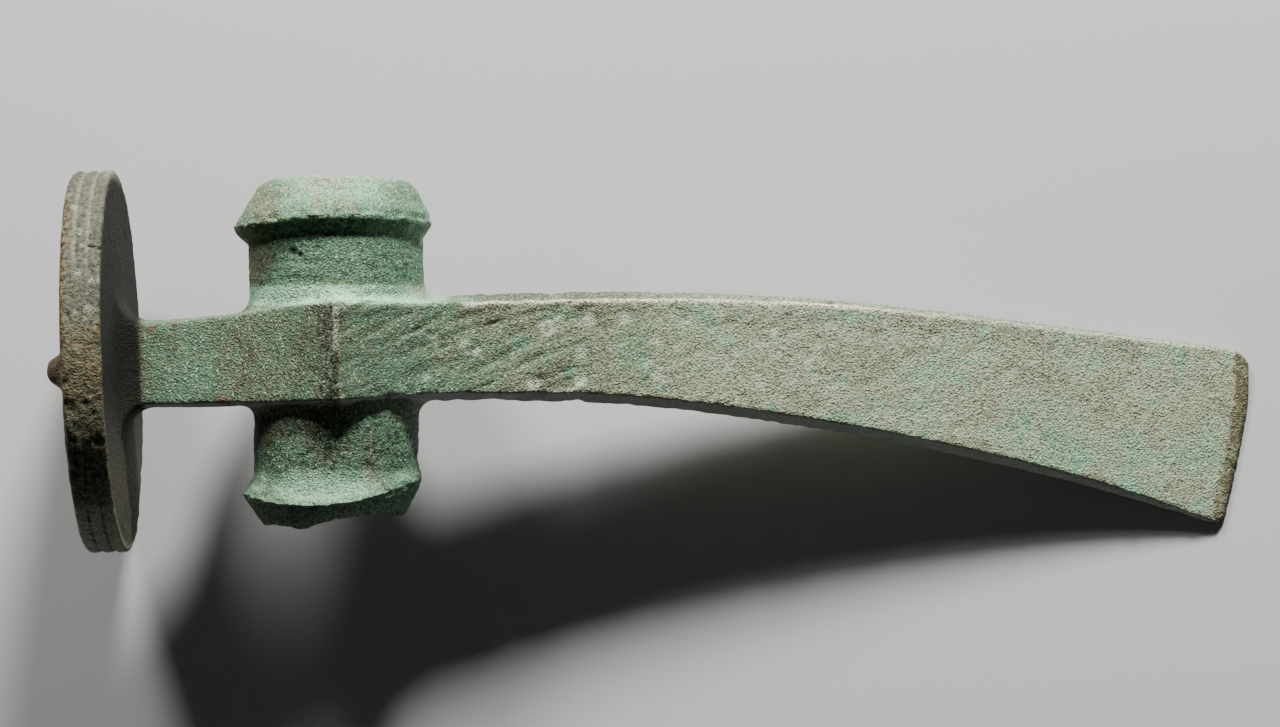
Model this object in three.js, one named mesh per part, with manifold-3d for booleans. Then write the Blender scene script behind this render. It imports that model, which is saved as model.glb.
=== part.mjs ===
import * as THREE from 'three';
import { mergeVertices } from 'three/addons/utils/BufferGeometryUtils.js';
import Module from 'manifold-3d';

// A cast bronze battle axe head: a disc butt with a knob, a neck, a four-sided body
// round a shaft tube with a collar at each mouth, and a long curved blade.
// Lengths are in millimetres. The axe is drawn upright about the middle of its shaft
// hole: +X runs to the cutting edge, +Y up the shaft tube and +Z out of the front face.
// At the end it is laid down on its disc and its cutting edge.

// Disc butt, measured from the shaft hole to the disc's inner face
const discReach = 40.7;
const discRadius = 36.5;
const discThickness = 7.7;
const discDrop = 1.9;
const discLean = THREE.MathUtils.degToRad(2.2);
const rimInnerRound = 0.4;
const rimOuterRound = 1.3;
const rimBands = 3;
const rimGrooveWidth = 1.1;
const rimGrooveDepth = 0.4;
const knobRadius = 9.5;
const knobHeight = 6.8;
const knobTipRadius = 1.2;
const knobDrop = 1.4;

// Neck, from the flare at the disc to the body's front and back arris
const flareRadius = 6.3;
const neckTop = 5.4;
const neckWaistTop = 7.0;
const neckFoot = 10.9;
const neckWaistFoot = 10.6;
const neckHalfWidth = 6.0;

// Tapered shaft hole
const holeTopRadius = 12.2;
const holeFootRadius = 11.4;

// Shaft tube, its walls measured from the hole and its heights from the body
const tubeShift = 0.4;
const tubeTopWall = 4.5;
const tubeFootWall = 4.35;
const topTubeLength = 14.3;
const footTubeLength = 15.7;
const rootFillet = 3.0;

// Collar at each mouth: a sharp flange, set towards the butt, and a cone to the lip
const collarShift = 0.8;
const topFlangeProud = 2.55;
const topFlangeUndercut = 3.1;
const topFlangeBow = 1.65;
const topFlangeSlant = 0.035;
const topLipRise = 9.2;
const topLipWall = 1.9;
const footFlangeProud = 1.95;
const footFlangeCove = 2.8;
const footFlangeBow = 3.3;
const footFlangeSlant = 0.08;
const footLipDrop = 6.5;
const footLipWall = 2.4;
const lipRound = 0.6;

// A notch in the front of the top lip and a chip in the front of the foot lip
const notchWidth = 3.4;
const notchDepth = 0.8;
const notchPlace = 1.2;
const chipWidth = 15.0;
const chipDepth = 0.5;
const chipPlace = 8.0;

// Body round the shaft tube, a lozenge in plan with an upright arris on each face
const bodyTop = 9.7;
const bodyFoot = 10.0;
const arrisPlace = 1.4;
const arrisProud = 4.3;
const arrisNeckRun = 12.0;
const arrisNeckSlope = 0.53;
const arrisBladeRun = 9.0;
const arrisBladeSlope = 0.7;

// Blade: heights of its top and foot lines at equal steps from root to edge
const bladeRoot = 26.0;
const bladeReach = 175.7;
const edgeSetback = 6.2;
const edgeBow = 0.8;
const bladeTopLine = [10.9, 11.4, 10.5, 7.75, 3.85, 0.0];
const bladeFootLine = [-9.6, -10.3, -13.6, -18.6, -25.1, -33.4];
const bladeHalfWidth = 6.7;
const bladeRootSwell = 0.9;
const edgeHalfWidth = 0.45;
const bevelLength = 9.0;
const bevelHalfWidth = 1.4;
const topCornerRound = 5.8;
const footCornerRound = 2.6;

// Ridged narrow sides: how far the middle crease stands above the face's edge
const neckRidge = 0.7;
const arrisTopRidge = 0.2;
const bladeRidge = 1.65;
const bladeMiddleTopRidge = 1.0;
const edgeRidge = 0.25;
const arrisRound = 0.5;

// Depth of the worn flat on the rim's back edge that the laid axe rests on
const restFlatDepth = 0.5;

// Numbers of steps
const discSides = 72;
const tubeSides = 48;
const knobSides = 30;
const cutSides = 72;
const arcSteps = 5;
const faceSteps = 4;
const neckSteps = 9;
const bladeRootSteps = 9;
const bladeSteps = 22;
const restPasses = 8;

// How far a buried end runs into what it joins, and a cutter past what it cuts
const overlap = 1.5;

// How near a fillet comes to the body's edge, and how deep its own edge is let in
const filletMargin = 0.4;
const filletBite = 0.05;

// The largest share of a narrow side that the rounding of its edge may take, and how
// fast that rounding grows where the neck flares
const cornerShare = 0.45;
const flareRounding = 0.9;

// Sizes that follow from the ones above
const tubeTopRadius = holeTopRadius + tubeTopWall;
const tubeFootRadius = holeFootRadius + tubeFootWall;
const topFlangeRadius = tubeTopRadius + topFlangeProud;
const topFlangeHeight = bodyTop + topTubeLength;
const topFlangeUnder = topFlangeHeight - topFlangeUndercut;
const topLipRadius = holeTopRadius + topLipWall;
const topLipHeight = topFlangeHeight + topLipRise;
const footFlangeRadius = tubeFootRadius + footFlangeProud;
const footFlangeHeight = bodyFoot + footTubeLength;
const footCoveTop = footFlangeHeight - footFlangeCove;
const footLipRadius = holeFootRadius + footLipWall;
const footLipHeight = footFlangeHeight + footLipDrop;
const arrisHalfWidth = tubeTopRadius + arrisProud;

const wasm = await Module();
wasm.setup();

// Turns a closed geometry into a solid
function toSolid(geometry) {
  const bare = geometry.index ? geometry.clone() : geometry;
  bare.deleteAttribute('normal');
  bare.deleteAttribute('uv');
  const merged = mergeVertices(bare, 1e-5);
  return new wasm.Manifold(new wasm.Mesh({
    numProp: 3,
    vertProperties: new Float32Array(merged.attributes.position.array),
    triVerts: new Uint32Array(merged.index.array),
  }));
}

// Turns a solid back into a geometry
function toGeometry(solid) {
  const mesh = solid.getMesh();
  const geometry = new THREE.BufferGeometry();
  geometry.setAttribute('position', new THREE.BufferAttribute(mesh.vertProperties, 3));
  geometry.setIndex(new THREE.BufferAttribute(mesh.triVerts, 1));
  geometry.computeVertexNormals();
  return geometry;
}

// A smooth function through points given as [x, value], flat beyond its ends
function smoothThrough(points) {
  const slopes = points.map((point, i) => {
    const before = points[Math.max(i - 1, 0)];
    const after = points[Math.min(i + 1, points.length - 1)];
    return (after[1] - before[1]) / (after[0] - before[0]);
  });
  return (x) => {
    const last = points.length - 2;
    const found = points.findIndex((point, i) => i <= last && x < points[i + 1][0]);
    const i = found < 0 ? last : found;
    const run = points[i + 1][0] - points[i][0];
    const t = THREE.MathUtils.clamp((x - points[i][0]) / run, 0, 1);
    const rise = points[i + 1][1] - points[i][1];
    const lift = t * t * (3 - 2 * t);
    const startPull = t * (1 - t) * (1 - t) * slopes[i] * run;
    const endPull = t * t * (1 - t) * slopes[i + 1] * run;
    return points[i][1] + rise * lift + startPull - endPull;
  };
}

// Skins a list of rings, each a closed loop of as many points, and caps both ends
function skin(rings) {
  const count = rings[0].length;
  const positions = rings.flat().flatMap((point) => [point.x, point.y, point.z]);
  const faces = [];
  for (let r = 0; r < rings.length - 1; r += 1) {
    for (let i = 0; i < count; i += 1) {
      const a = r * count + i;
      const b = r * count + ((i + 1) % count);
      faces.push(a, b, a + count, b, b + count, a + count);
    }
  }
  const end = (rings.length - 1) * count;
  for (let i = 1; i <= count / 2; i += 1) {
    const before = i - 1;
    const mirror = count - i;
    const mirrorBefore = (mirror + 1) % count;
    if (mirror !== i) {
      faces.push(i, before, mirror);
      faces.push(end + before, end + i, end + mirror);
    }
    if (mirrorBefore !== before) {
      faces.push(mirror, before, mirrorBefore);
      faces.push(end + before, end + mirror, end + mirrorBefore);
    }
  }
  const geometry = new THREE.BufferGeometry();
  geometry.setAttribute('position', new THREE.Float32BufferAttribute(positions, 3));
  geometry.setIndex(faces);
  return geometry;
}

// A lathe solid round the Y axis, from a profile of [radius, height] that climbs
function turned(profile, sides) {
  const points = profile.map(([radius, height]) => new THREE.Vector2(radius, height));
  return new THREE.LatheGeometry(points, sides);
}

// Points of a quarter round from one profile point to another, bulging to a third
function rounded(start, bulge, finish, steps) {
  const toVector = ([x, y]) => new THREE.Vector2(x, y);
  const curve = new THREE.QuadraticBezierCurve(toVector(start), toVector(bulge), toVector(finish));
  return curve.getPoints(steps).map((point) => [point.x, point.y]);
}

// Places along the blade, from 0 at its root to 1 at its cutting edge
const bladeSpan = bladeReach - bladeRoot;
const footSpan = bladeSpan - edgeSetback;
const alongLine = (line, span) => line.map((height, i) => [
  bladeRoot + (span * i) / (line.length - 1),
  height,
]);

const crest = smoothThrough([
  [-discReach, neckTop],
  [-discReach / 2, neckWaistTop],
  [arrisPlace, bodyTop],
  ...alongLine(bladeTopLine, bladeSpan),
]);
const keel = smoothThrough([
  [-discReach, -neckFoot],
  [-discReach / 2, -neckWaistFoot],
  [arrisPlace, -bodyFoot],
  ...alongLine(bladeFootLine, footSpan),
]);
const topRidge = smoothThrough([
  [-discReach, neckRidge],
  [arrisPlace, arrisTopRidge],
  [bladeRoot, bladeRidge],
  [bladeRoot + bladeSpan / 2, bladeMiddleTopRidge],
  [bladeReach, edgeRidge],
]);
const footRidge = smoothThrough([
  [-discReach, neckRidge],
  [arrisPlace, neckRidge],
  [bladeRoot, bladeRidge],
  [bladeRoot + bladeSpan * 0.8, bladeRidge],
  [bladeReach, edgeRidge],
]);

// Half the body's thickness in plan: a concave sweep from the neck to the arris, and
// another from the arris to the blade, as points of [x, half width]
const neckStart = -discReach + flareRadius;
const neckPlan = new THREE.CubicBezierCurve(
  new THREE.Vector2(neckStart, neckHalfWidth),
  new THREE.Vector2((neckStart + arrisPlace - arrisNeckRun) / 2, neckHalfWidth),
  new THREE.Vector2(arrisPlace - arrisNeckRun, arrisHalfWidth - arrisNeckRun * arrisNeckSlope),
  new THREE.Vector2(arrisPlace, arrisHalfWidth),
).getPoints(neckSteps);
const rootPlan = new THREE.CubicBezierCurve(
  new THREE.Vector2(arrisPlace, arrisHalfWidth),
  new THREE.Vector2(arrisPlace + arrisBladeRun, arrisHalfWidth - arrisBladeRun * arrisBladeSlope),
  new THREE.Vector2((arrisPlace + arrisBladeRun + bladeRoot) / 2, bladeHalfWidth + bladeRootSwell),
  new THREE.Vector2(bladeRoot, bladeHalfWidth),
).getPoints(bladeRootSteps);
const bladeThickness = smoothThrough([
  [bladeRoot, bladeHalfWidth],
  [bladeReach - bevelLength, bevelHalfWidth],
  [bladeReach, edgeHalfWidth],
]);

// One ring round the axe at a station: foot and top are its ends on the middle plane,
// half its half width, and the ridges and the round shape its narrow sides
function sectionRing(station) {
  const { top, foot, half, ridgeTop, ridgeFoot, round, bow } = station;
  const height = top.distanceTo(foot);
  const place = (up, out) => {
    const share = up / height;
    const point = foot.clone().lerp(top, share);
    const lean = bow * 4 * share * (1 - share);
    return new THREE.Vector3(point.x + lean, point.y, out);
  };
  const corner = (edge, ridge, towards) => {
    const side = Math.hypot(ridge, half);
    const reach = Math.min(round, side * cornerShare);
    const flank = [edge - towards * ridge, half];
    const onRidge = [flank[0] + (towards * ridge * reach) / side, half - (half * reach) / side];
    return rounded(onRidge, flank, [flank[0] - towards * reach, half], 2);
  };
  const front = [[height, 0], ...corner(height, ridgeTop, 1)];
  const lowFront = corner(0, ridgeFoot, -1).reverse();
  const high = front[front.length - 1][0];
  const low = lowFront[0][0];
  for (let i = faceSteps - 1; i > 0; i -= 1) {
    front.push([low + ((high - low) * i) / faceSteps, half]);
  }
  front.push(...lowFront, [0, 0]);
  const back = front.slice(1, -1).reverse().map(([up, out]) => [up, -out]);
  return [...front, ...back].map(([up, out]) => place(up, out));
}

function stationAt(topX, footX, half, extra = {}) {
  return {
    top: new THREE.Vector2(topX, crest(topX)),
    foot: new THREE.Vector2(footX, keel(footX)),
    half,
    ridgeTop: topRidge(topX),
    ridgeFoot: footRidge(topX),
    round: arrisRound,
    bow: 0,
    ...extra,
  };
}

// The flare from the neck out to the disc's leaning inner face
function flareStations() {
  const stations = [];
  const buried = stationAt(-discReach, -discReach, neckHalfWidth);
  for (let i = -1; i < arcSteps; i += 1) {
    const run = flareRadius * Math.max(i / arcSteps, 0) ** 1.5;
    const swell = flareRadius - Math.sqrt(flareRadius ** 2 - (flareRadius - run) ** 2);
    const depth = i < 0 ? -overlap : run;
    const share = 1 - run / flareRadius;
    const leanAt = (y) => -Math.tan(discLean) * (y + discDrop) * share;
    const topY = crest(-discReach + run) + swell;
    const footY = keel(-discReach + run) - swell;
    stations.push({
      ...buried,
      top: new THREE.Vector2(-discReach + depth + leanAt(topY), topY),
      foot: new THREE.Vector2(-discReach + depth + leanAt(footY), footY),
      half: neckHalfWidth + swell,
      round: arrisRound + swell * flareRounding,
    });
  }
  return stations;
}

// The blade from its root to where its corners begin to round, then round the corners
function bladeStations() {
  const stations = [];
  const cornerStart = 1 - topCornerRound / bladeSpan;
  const footStart = 1 - footCornerRound / footSpan;
  for (let i = 1; i <= bladeSteps; i += 1) {
    const share = i / bladeSteps;
    const topX = bladeRoot + bladeSpan * cornerStart * share;
    const footX = bladeRoot + footSpan * footStart * share;
    const bow = edgeBow * THREE.MathUtils.smoothstep(share, 0.75, 1);
    stations.push(stationAt(topX, footX, bladeThickness(topX), { bow }));
  }
  const last = stations[stations.length - 1];
  const topCorner = new THREE.Vector2(bladeReach, crest(bladeReach));
  const footCorner = new THREE.Vector2(bladeReach - edgeSetback, keel(bladeReach - edgeSetback));
  const edge = footCorner.clone().sub(topCorner).normalize();
  const topEnd = topCorner.clone().addScaledVector(edge, topCornerRound);
  const footEnd = footCorner.clone().addScaledVector(edge, -footCornerRound);
  const topArc = new THREE.QuadraticBezierCurve(last.top, topCorner, topEnd);
  const footArc = new THREE.QuadraticBezierCurve(last.foot, footCorner, footEnd);
  for (let i = 1; i <= arcSteps; i += 1) {
    const share = i / arcSteps;
    const half = THREE.MathUtils.lerp(last.half, edgeHalfWidth, share);
    stations.push({
      ...last,
      top: topArc.getPoint(share),
      foot: footArc.getPoint(share),
      half,
      ridgeTop: edgeRidge,
      ridgeFoot: edgeRidge,
    });
  }
  return stations;
}

function makeBody() {
  const stations = [
    ...flareStations(),
    ...neckPlan.map(({ x, y }) => stationAt(x, x, y)),
    ...rootPlan.slice(1).map(({ x, y }) => stationAt(x, x, y)),
    ...bladeStations(),
  ];
  return { solid: toSolid(skin(stations.map(sectionRing))), edge: stations[stations.length - 1] };
}

// The disc is turned about its own axis, thickness upwards, then set on the axe
function placeOnDisc(geometry, drop) {
  geometry.rotateZ(Math.PI / 2);
  geometry.translate(0, -drop, 0);
  geometry.rotateZ(discLean);
  geometry.translate(-discReach, -discDrop, 0);
  return toSolid(geometry);
}

function makeDisc() {
  const profile = [
    [0, 0],
    ...rounded(
      [discRadius - rimInnerRound, 0],
      [discRadius, 0],
      [discRadius, rimInnerRound],
      2,
    ),
  ];
  for (let band = 1; band < rimBands; band += 1) {
    const middle = (discThickness * band) / rimBands;
    profile.push([discRadius, middle - rimGrooveWidth / 2]);
    profile.push([discRadius - rimGrooveDepth, middle]);
    profile.push([discRadius, middle + rimGrooveWidth / 2]);
  }
  profile.push(...rounded(
    [discRadius, discThickness - rimOuterRound],
    [discRadius, discThickness],
    [discRadius - rimOuterRound, discThickness],
    3,
  ));
  profile.push([0, discThickness]);
  return placeOnDisc(turned(profile, discSides), 0);
}

function makeKnob() {
  const seat = discThickness - overlap;
  const tip = discThickness + knobHeight;
  const shoulder = discThickness + knobHeight * (1 - knobTipRadius / knobRadius);
  const profile = [
    [0, seat],
    [knobRadius, seat],
    [knobRadius, discThickness],
    [knobTipRadius, shoulder],
    ...rounded([knobTipRadius, shoulder], [knobTipRadius / 2, tip], [0, tip], 3).slice(1),
  ];
  return placeOnDisc(turned(profile, knobSides), knobDrop);
}

// How the tube is warped at a height: its shift towards the butt, its bow at the front
// and back and its slant across, all growing from the body out to the flange's edge
const collarOffset = smoothThrough([
  [-footLipHeight, collarShift / 2],
  [-footFlangeHeight, collarShift],
  [-footCoveTop, collarShift / 3],
  [-bodyFoot, 0],
  [bodyTop, 0],
  [topFlangeUnder, collarShift / 3],
  [topFlangeHeight, collarShift],
  [topLipHeight, 0],
]);
const collarBow = smoothThrough([
  [-footLipHeight, 0],
  [-footFlangeHeight, -footFlangeBow],
  [-footCoveTop, -footFlangeBow],
  [-bodyFoot, 0],
  [bodyTop, 0],
  [topFlangeUnder, topFlangeBow],
  [topFlangeHeight, topFlangeBow],
  [topLipHeight, 0],
]);
const collarSlant = smoothThrough([
  [-footLipHeight, footFlangeSlant],
  [-footCoveTop, footFlangeSlant],
  [-bodyFoot, 0],
  [bodyTop, 0],
  [topFlangeUnder, topFlangeSlant],
  [topFlangeHeight, topFlangeSlant],
  [topLipHeight, 0],
]);

function makeTube() {
  const profile = [
    [0, -footLipHeight],
    ...rounded(
      [footLipRadius - lipRound, -footLipHeight],
      [footLipRadius, -footLipHeight],
      [footLipRadius + lipRound / 2, -footLipHeight + lipRound],
      2,
    ),
    [footFlangeRadius, -footFlangeHeight],
    ...rounded(
      [footFlangeRadius - lipRound / 2, -footFlangeHeight + lipRound],
      [tubeFootRadius, -footCoveTop - footFlangeCove / 3],
      [tubeFootRadius, -footCoveTop + footFlangeCove / 2],
      arcSteps - 1,
    ),
    [tubeFootRadius, -bodyFoot - rootFillet],
    [tubeFootRadius, -bodyFoot],
    [tubeTopRadius, bodyTop],
    [tubeTopRadius, bodyTop + rootFillet],
    [tubeTopRadius, topFlangeUnder],
    [topFlangeRadius - lipRound / 3, topFlangeHeight - lipRound],
    [topFlangeRadius, topFlangeHeight],
    ...rounded(
      [topLipRadius + lipRound / 2, topLipHeight - lipRound],
      [topLipRadius, topLipHeight],
      [topLipRadius - lipRound, topLipHeight],
      2,
    ),
    [0, topLipHeight],
  ];
  const geometry = turned(profile, tubeSides);
  const position = geometry.attributes.position;
  for (let i = 0; i < position.count; i += 1) {
    const x = position.getX(i);
    const y = position.getY(i);
    const z = position.getZ(i);
    const towardsFace = Math.sin(Math.atan2(z, x)) ** 2;
    position.setX(i, x + tubeShift - collarOffset(y));
    position.setY(i, y + collarSlant(y) * x + collarBow(y) * towardsFace);
  }
  return toSolid(geometry);
}

// The body's half width in plan at a place along it
const planHalfWidth = (x) => {
  const plan = [...neckPlan, ...rootPlan.slice(1)];
  const last = plan.length - 2;
  const found = plan.findIndex((point, i) => i <= last && x < plan[i + 1].x);
  const i = found < 0 ? last : found;
  const share = THREE.MathUtils.clamp((x - plan[i].x) / (plan[i + 1].x - plan[i].x), 0, 1);
  return THREE.MathUtils.lerp(plan[i].y, plan[i + 1].y, share);
};

// How far a fillet may spread from the tube in a direction before it leaves the body
function filletReach(radius, angle) {
  let reach = rootFillet;
  const fits = () => {
    const far = radius + reach + filletMargin;
    return far * Math.abs(Math.sin(angle)) <= planHalfWidth(tubeShift + far * Math.cos(angle));
  };
  while (!fits() && reach > filletMargin) {
    reach -= filletMargin / 2;
  }
  return reach;
}

// A concave fillet between the tube and the body's ridged narrow side, narrower where
// the body's edge comes near the tube; side is 1 for the top and -1 for the foot
function makeRootFillet(radius, line, ridge, side) {
  const profile = [
    [0, -rootFillet],
    [radius + rootFillet, -rootFillet],
    ...rounded([radius + rootFillet, 0], [radius, 0], [radius, rootFillet], arcSteps - 1),
    [0, rootFillet],
  ];
  const geometry = turned(profile, tubeSides);
  const position = geometry.attributes.position;
  for (let i = 0; i < position.count; i += 1) {
    const angle = Math.atan2(position.getZ(i), position.getX(i));
    const spread = filletReach(radius, angle) / rootFillet;
    const flat = Math.hypot(position.getX(i), position.getZ(i));
    const far = flat > radius ? radius + (flat - radius) * spread : flat;
    const x = tubeShift + far * Math.cos(angle);
    const z = far * Math.sin(angle);
    const height = position.getY(i) * (position.getY(i) > 0 ? spread : 1);
    const across = Math.min(Math.abs(z) / planHalfWidth(x), 1);
    const surface = side * line(x) - ridge(x) * across;
    position.setXYZ(i, x, side * (surface + height - filletBite), side * z);
  }
  return toSolid(geometry);
}

function makeHole() {
  const top = topLipHeight + topFlangeBow + overlap;
  const foot = -footLipHeight - footFlangeBow - overlap;
  const geometry = turned([
    [0, foot],
    [holeFootRadius, foot],
    [holeTopRadius, top],
    [0, top],
  ], tubeSides);
  geometry.translate(tubeShift, 0, 0);
  return toSolid(geometry);
}

// A round-bottomed cut across the front of a lip: level is the lip's height there, and
// side is 1 for the top lip and -1 for the foot lip
function makeLipCut(width, depth, place, level, side, lipRadius) {
  const radius = (width ** 2 / 4 + depth ** 2) / (2 * depth);
  const geometry = new THREE.CylinderGeometry(radius, radius, lipRadius, cutSides);
  geometry.rotateX(Math.PI / 2);
  geometry.translate(place, side * (level + radius - depth), lipRadius);
  return toSolid(geometry);
}

// The plane that the laid axe rests on: through the back of both ends of the cutting
// edge and touching the disc's inner rim, as a unit normal and its offset
function restPlane(edge) {
  const top = new THREE.Vector3(edge.top.x, edge.top.y, -edge.half);
  const foot = new THREE.Vector3(edge.foot.x, edge.foot.y, -edge.half);
  const centre = new THREE.Vector3(-discReach, -discDrop, 0);
  const discAxis = new THREE.Vector3(Math.cos(discLean), Math.sin(discLean), 0);
  const touch = centre.clone();
  touch.z -= discRadius - restFlatDepth;
  const normal = new THREE.Vector3();
  for (let pass = 0; pass < restPasses; pass += 1) {
    normal.crossVectors(foot.clone().sub(touch), top.clone().sub(touch)).normalize();
    const down = normal.clone().addScaledVector(discAxis, -normal.dot(discAxis)).normalize();
    touch.copy(centre).addScaledVector(down, -(discRadius - restFlatDepth));
  }
  return { normal, offset: normal.dot(foot) };
}

// Turns that lay the axe so that the plane is level and the blade points along +X
function layDown(normal) {
  const ahead = new THREE.Vector3(1, 0, 0);
  ahead.addScaledVector(normal, -normal.x).normalize();
  const across = new THREE.Vector3().crossVectors(normal, ahead);
  return new THREE.Matrix4().makeBasis(ahead, across, normal).transpose();
}

// A block under the rest plane, long enough to trim both the rim and the cutting edge
function makeRestBlock(plane) {
  const depth = 2 * discRadius;
  const length = 2 * (bladeReach + discReach);
  const geometry = new THREE.BoxGeometry(length, 2 * discRadius, depth);
  geometry.translate(0, -discDrop, plane.offset - depth / 2);
  geometry.applyMatrix4(layDown(plane.normal).invert());
  return toSolid(geometry);
}

const body = makeBody();
const plane = restPlane(body.edge);
const chipLevel = footLipHeight - footFlangeSlant * chipPlace;
const notch = makeLipCut(notchWidth, notchDepth, notchPlace, topLipHeight, 1, topLipRadius);
const chip = makeLipCut(chipWidth, chipDepth, chipPlace, chipLevel, -1, footLipRadius);
const casting = body.solid
  .add(makeDisc())
  .add(makeKnob())
  .add(makeTube())
  .add(makeRootFillet(tubeTopRadius, crest, topRidge, 1))
  .add(makeRootFillet(tubeFootRadius, keel, footRidge, -1))
  .subtract(makeHole())
  .subtract(notch)
  .subtract(chip)
  .subtract(makeRestBlock(plane));

const bronze = new THREE.MeshStandardMaterial({
  color: 0x7d9183,
  roughness: 0.75,
  metalness: 0.25,
});

const axeHead = new THREE.Mesh(toGeometry(casting), bronze);
axeHead.name = 'axe_head';

const laid = new THREE.Group();
laid.setRotationFromMatrix(layDown(plane.normal));
laid.add(axeHead);

// The origin is under the middle of the laid axe, on the surface it lies on
const part = new THREE.Group();
part.add(laid);
part.updateMatrixWorld(true);
const bounds = new THREE.Box3().setFromObject(part, true);
const middle = bounds.getCenter(new THREE.Vector3());
laid.position.set(-middle.x, -middle.y, -bounds.min.z);

export default part;
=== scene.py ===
import math
from types import SimpleNamespace

import bmesh
import bpy
import numpy as np
from mathutils import Matrix, Vector
from mathutils.geometry import interpolate_bezier


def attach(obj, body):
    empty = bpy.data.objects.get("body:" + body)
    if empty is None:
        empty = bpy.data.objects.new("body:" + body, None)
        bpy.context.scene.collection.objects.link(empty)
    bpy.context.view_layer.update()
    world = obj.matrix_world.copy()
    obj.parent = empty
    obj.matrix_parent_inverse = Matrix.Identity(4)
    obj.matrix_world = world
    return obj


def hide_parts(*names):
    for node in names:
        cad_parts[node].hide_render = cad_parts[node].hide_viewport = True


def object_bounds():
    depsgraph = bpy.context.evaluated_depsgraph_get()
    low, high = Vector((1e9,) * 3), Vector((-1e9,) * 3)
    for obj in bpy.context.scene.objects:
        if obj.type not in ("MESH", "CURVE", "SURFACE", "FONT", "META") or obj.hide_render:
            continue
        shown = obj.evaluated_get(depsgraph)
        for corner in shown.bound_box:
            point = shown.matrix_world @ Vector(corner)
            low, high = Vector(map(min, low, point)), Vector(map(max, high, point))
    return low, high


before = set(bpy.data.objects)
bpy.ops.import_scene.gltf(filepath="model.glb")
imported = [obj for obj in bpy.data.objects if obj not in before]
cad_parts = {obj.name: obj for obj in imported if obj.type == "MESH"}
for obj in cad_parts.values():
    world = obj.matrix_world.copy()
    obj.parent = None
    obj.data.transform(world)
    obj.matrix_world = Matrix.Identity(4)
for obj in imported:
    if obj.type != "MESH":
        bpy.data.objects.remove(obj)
cad_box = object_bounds()

# A cast bronze battle axe head with a disc butt, modelled upright about the middle of
# its shaft hole in millimetres: +X runs to the cutting edge, +Y up the shaft tube and
# +Z out of the front face. The finished casting is then laid down in the frame.
MM = 0.001

# How the casting lies, and where the middle of its shaft hole then is
NOSE_DOWN = math.radians(9.346)
SIDE_ROLL = math.radians(1.751)
HOLE_MIDDLE = (-59.047, 2.030, 28.977)

# Disc butt and knob
DISC_REACH = 40.7
DISC_RADIUS = 36.5
DISC_THICKNESS = 7.7
DISC_DROP = 1.9
DISC_LEAN = math.radians(2.2)
RIM_INNER_ROUND = 0.4
RIM_OUTER_ROUND = 1.3
RIM_BANDS = 3
RIM_GROOVE_WIDTH = 1.3
RIM_GROOVE_DEPTH = 0.6
KNOB_RADIUS = 9.5
KNOB_HEIGHT = 6.8
KNOB_SHOULDER_RADIUS = 3.6
KNOB_END = [(2.0, 0.66), (0.5, 0.6)]
KNOB_DROP = 1.4

# Neck
FLARE_RADIUS = 6.3
NECK_TOP = 5.4
NECK_WAIST_TOP = 7.0
NECK_FOOT = 10.9
NECK_WAIST_FOOT = 10.6
NECK_HALF_WIDTH = 6.0

# Shaft hole and tube
HOLE_TOP_RADIUS = 12.2
HOLE_FOOT_RADIUS = 11.4
TUBE_SHIFT = 0.4
TUBE_TOP_RADIUS = HOLE_TOP_RADIUS + 4.5
TUBE_FOOT_RADIUS = HOLE_FOOT_RADIUS + 4.35
ROOT_FILLET = 3.0
BODY_TOP = 9.7
BODY_FOOT = 10.0

# Collars
COLLAR_SHIFT = 0.8
TOP_FLANGE_RADIUS = TUBE_TOP_RADIUS + 2.55
TOP_FLANGE_HEIGHT = BODY_TOP + 14.3
TOP_FLANGE_UNDER = TOP_FLANGE_HEIGHT - 3.1
TOP_FLANGE_BOW = 1.65
TOP_FLANGE_SLANT = 0.035
TOP_LIP_HEIGHT = TOP_FLANGE_HEIGHT + 9.2
TOP_LIP_RADIUS = HOLE_TOP_RADIUS + 1.9
TOP_LIP_ROUND = 0.8
FOOT_FLANGE_RADIUS = TUBE_FOOT_RADIUS + 1.95
FOOT_FLANGE_HEIGHT = BODY_FOOT + 15.7
FOOT_COVE = 2.8
FOOT_COVE_TOP = FOOT_FLANGE_HEIGHT - FOOT_COVE
FOOT_FLANGE_BOW = 3.3
FOOT_FLANGE_SLANT = 0.08
FOOT_LIP_HEIGHT = FOOT_FLANGE_HEIGHT + 6.5
FOOT_LIP_RADIUS = HOLE_FOOT_RADIUS + 2.4
LIP_ROUND = 0.6

# Body and blade
ARRIS_PLACE = 1.4
ARRIS_HALF_WIDTH = TUBE_TOP_RADIUS + 4.3
ARRIS_NECK_RUN = 12.0
ARRIS_NECK_SLOPE = 0.53
ARRIS_BLADE_RUN = 9.0
ARRIS_BLADE_SLOPE = 0.7
BLADE_ROOT = 26.0
BLADE_REACH = 175.7
EDGE_SETBACK = 6.2
EDGE_BOW = 0.8
EDGE_SLANT = 0.186
BLADE_TOP_LINE = (10.9, 11.4, 10.5, 7.75, 3.85, 0.0)
BLADE_FOOT_LINE = (-9.6, -10.3, -13.6, -18.6, -25.1, -33.4)
BLADE_HALF_WIDTH = 6.7
BLADE_ROOT_SWELL = 0.9
EDGE_HALF_WIDTH = 0.45
BEVEL_LENGTH = 9.0
BEVEL_HALF_WIDTH = 1.4
TOP_CORNER_ROUND = 5.8
FOOT_CORNER_ROUND = 2.6
NECK_RIDGE = 0.7
ARRIS_TOP_RIDGE = 0.2
BLADE_RIDGE = 1.65
BLADE_MIDDLE_TOP_RIDGE = 1.0
EDGE_RIDGE = 0.25

# Worn places on the lips: width, depth and place along the lip
TOP_NOTCH = (3.4, 0.8, 1.2)
FOOT_CHIP = (15.0, 0.5, 8.0)

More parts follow.
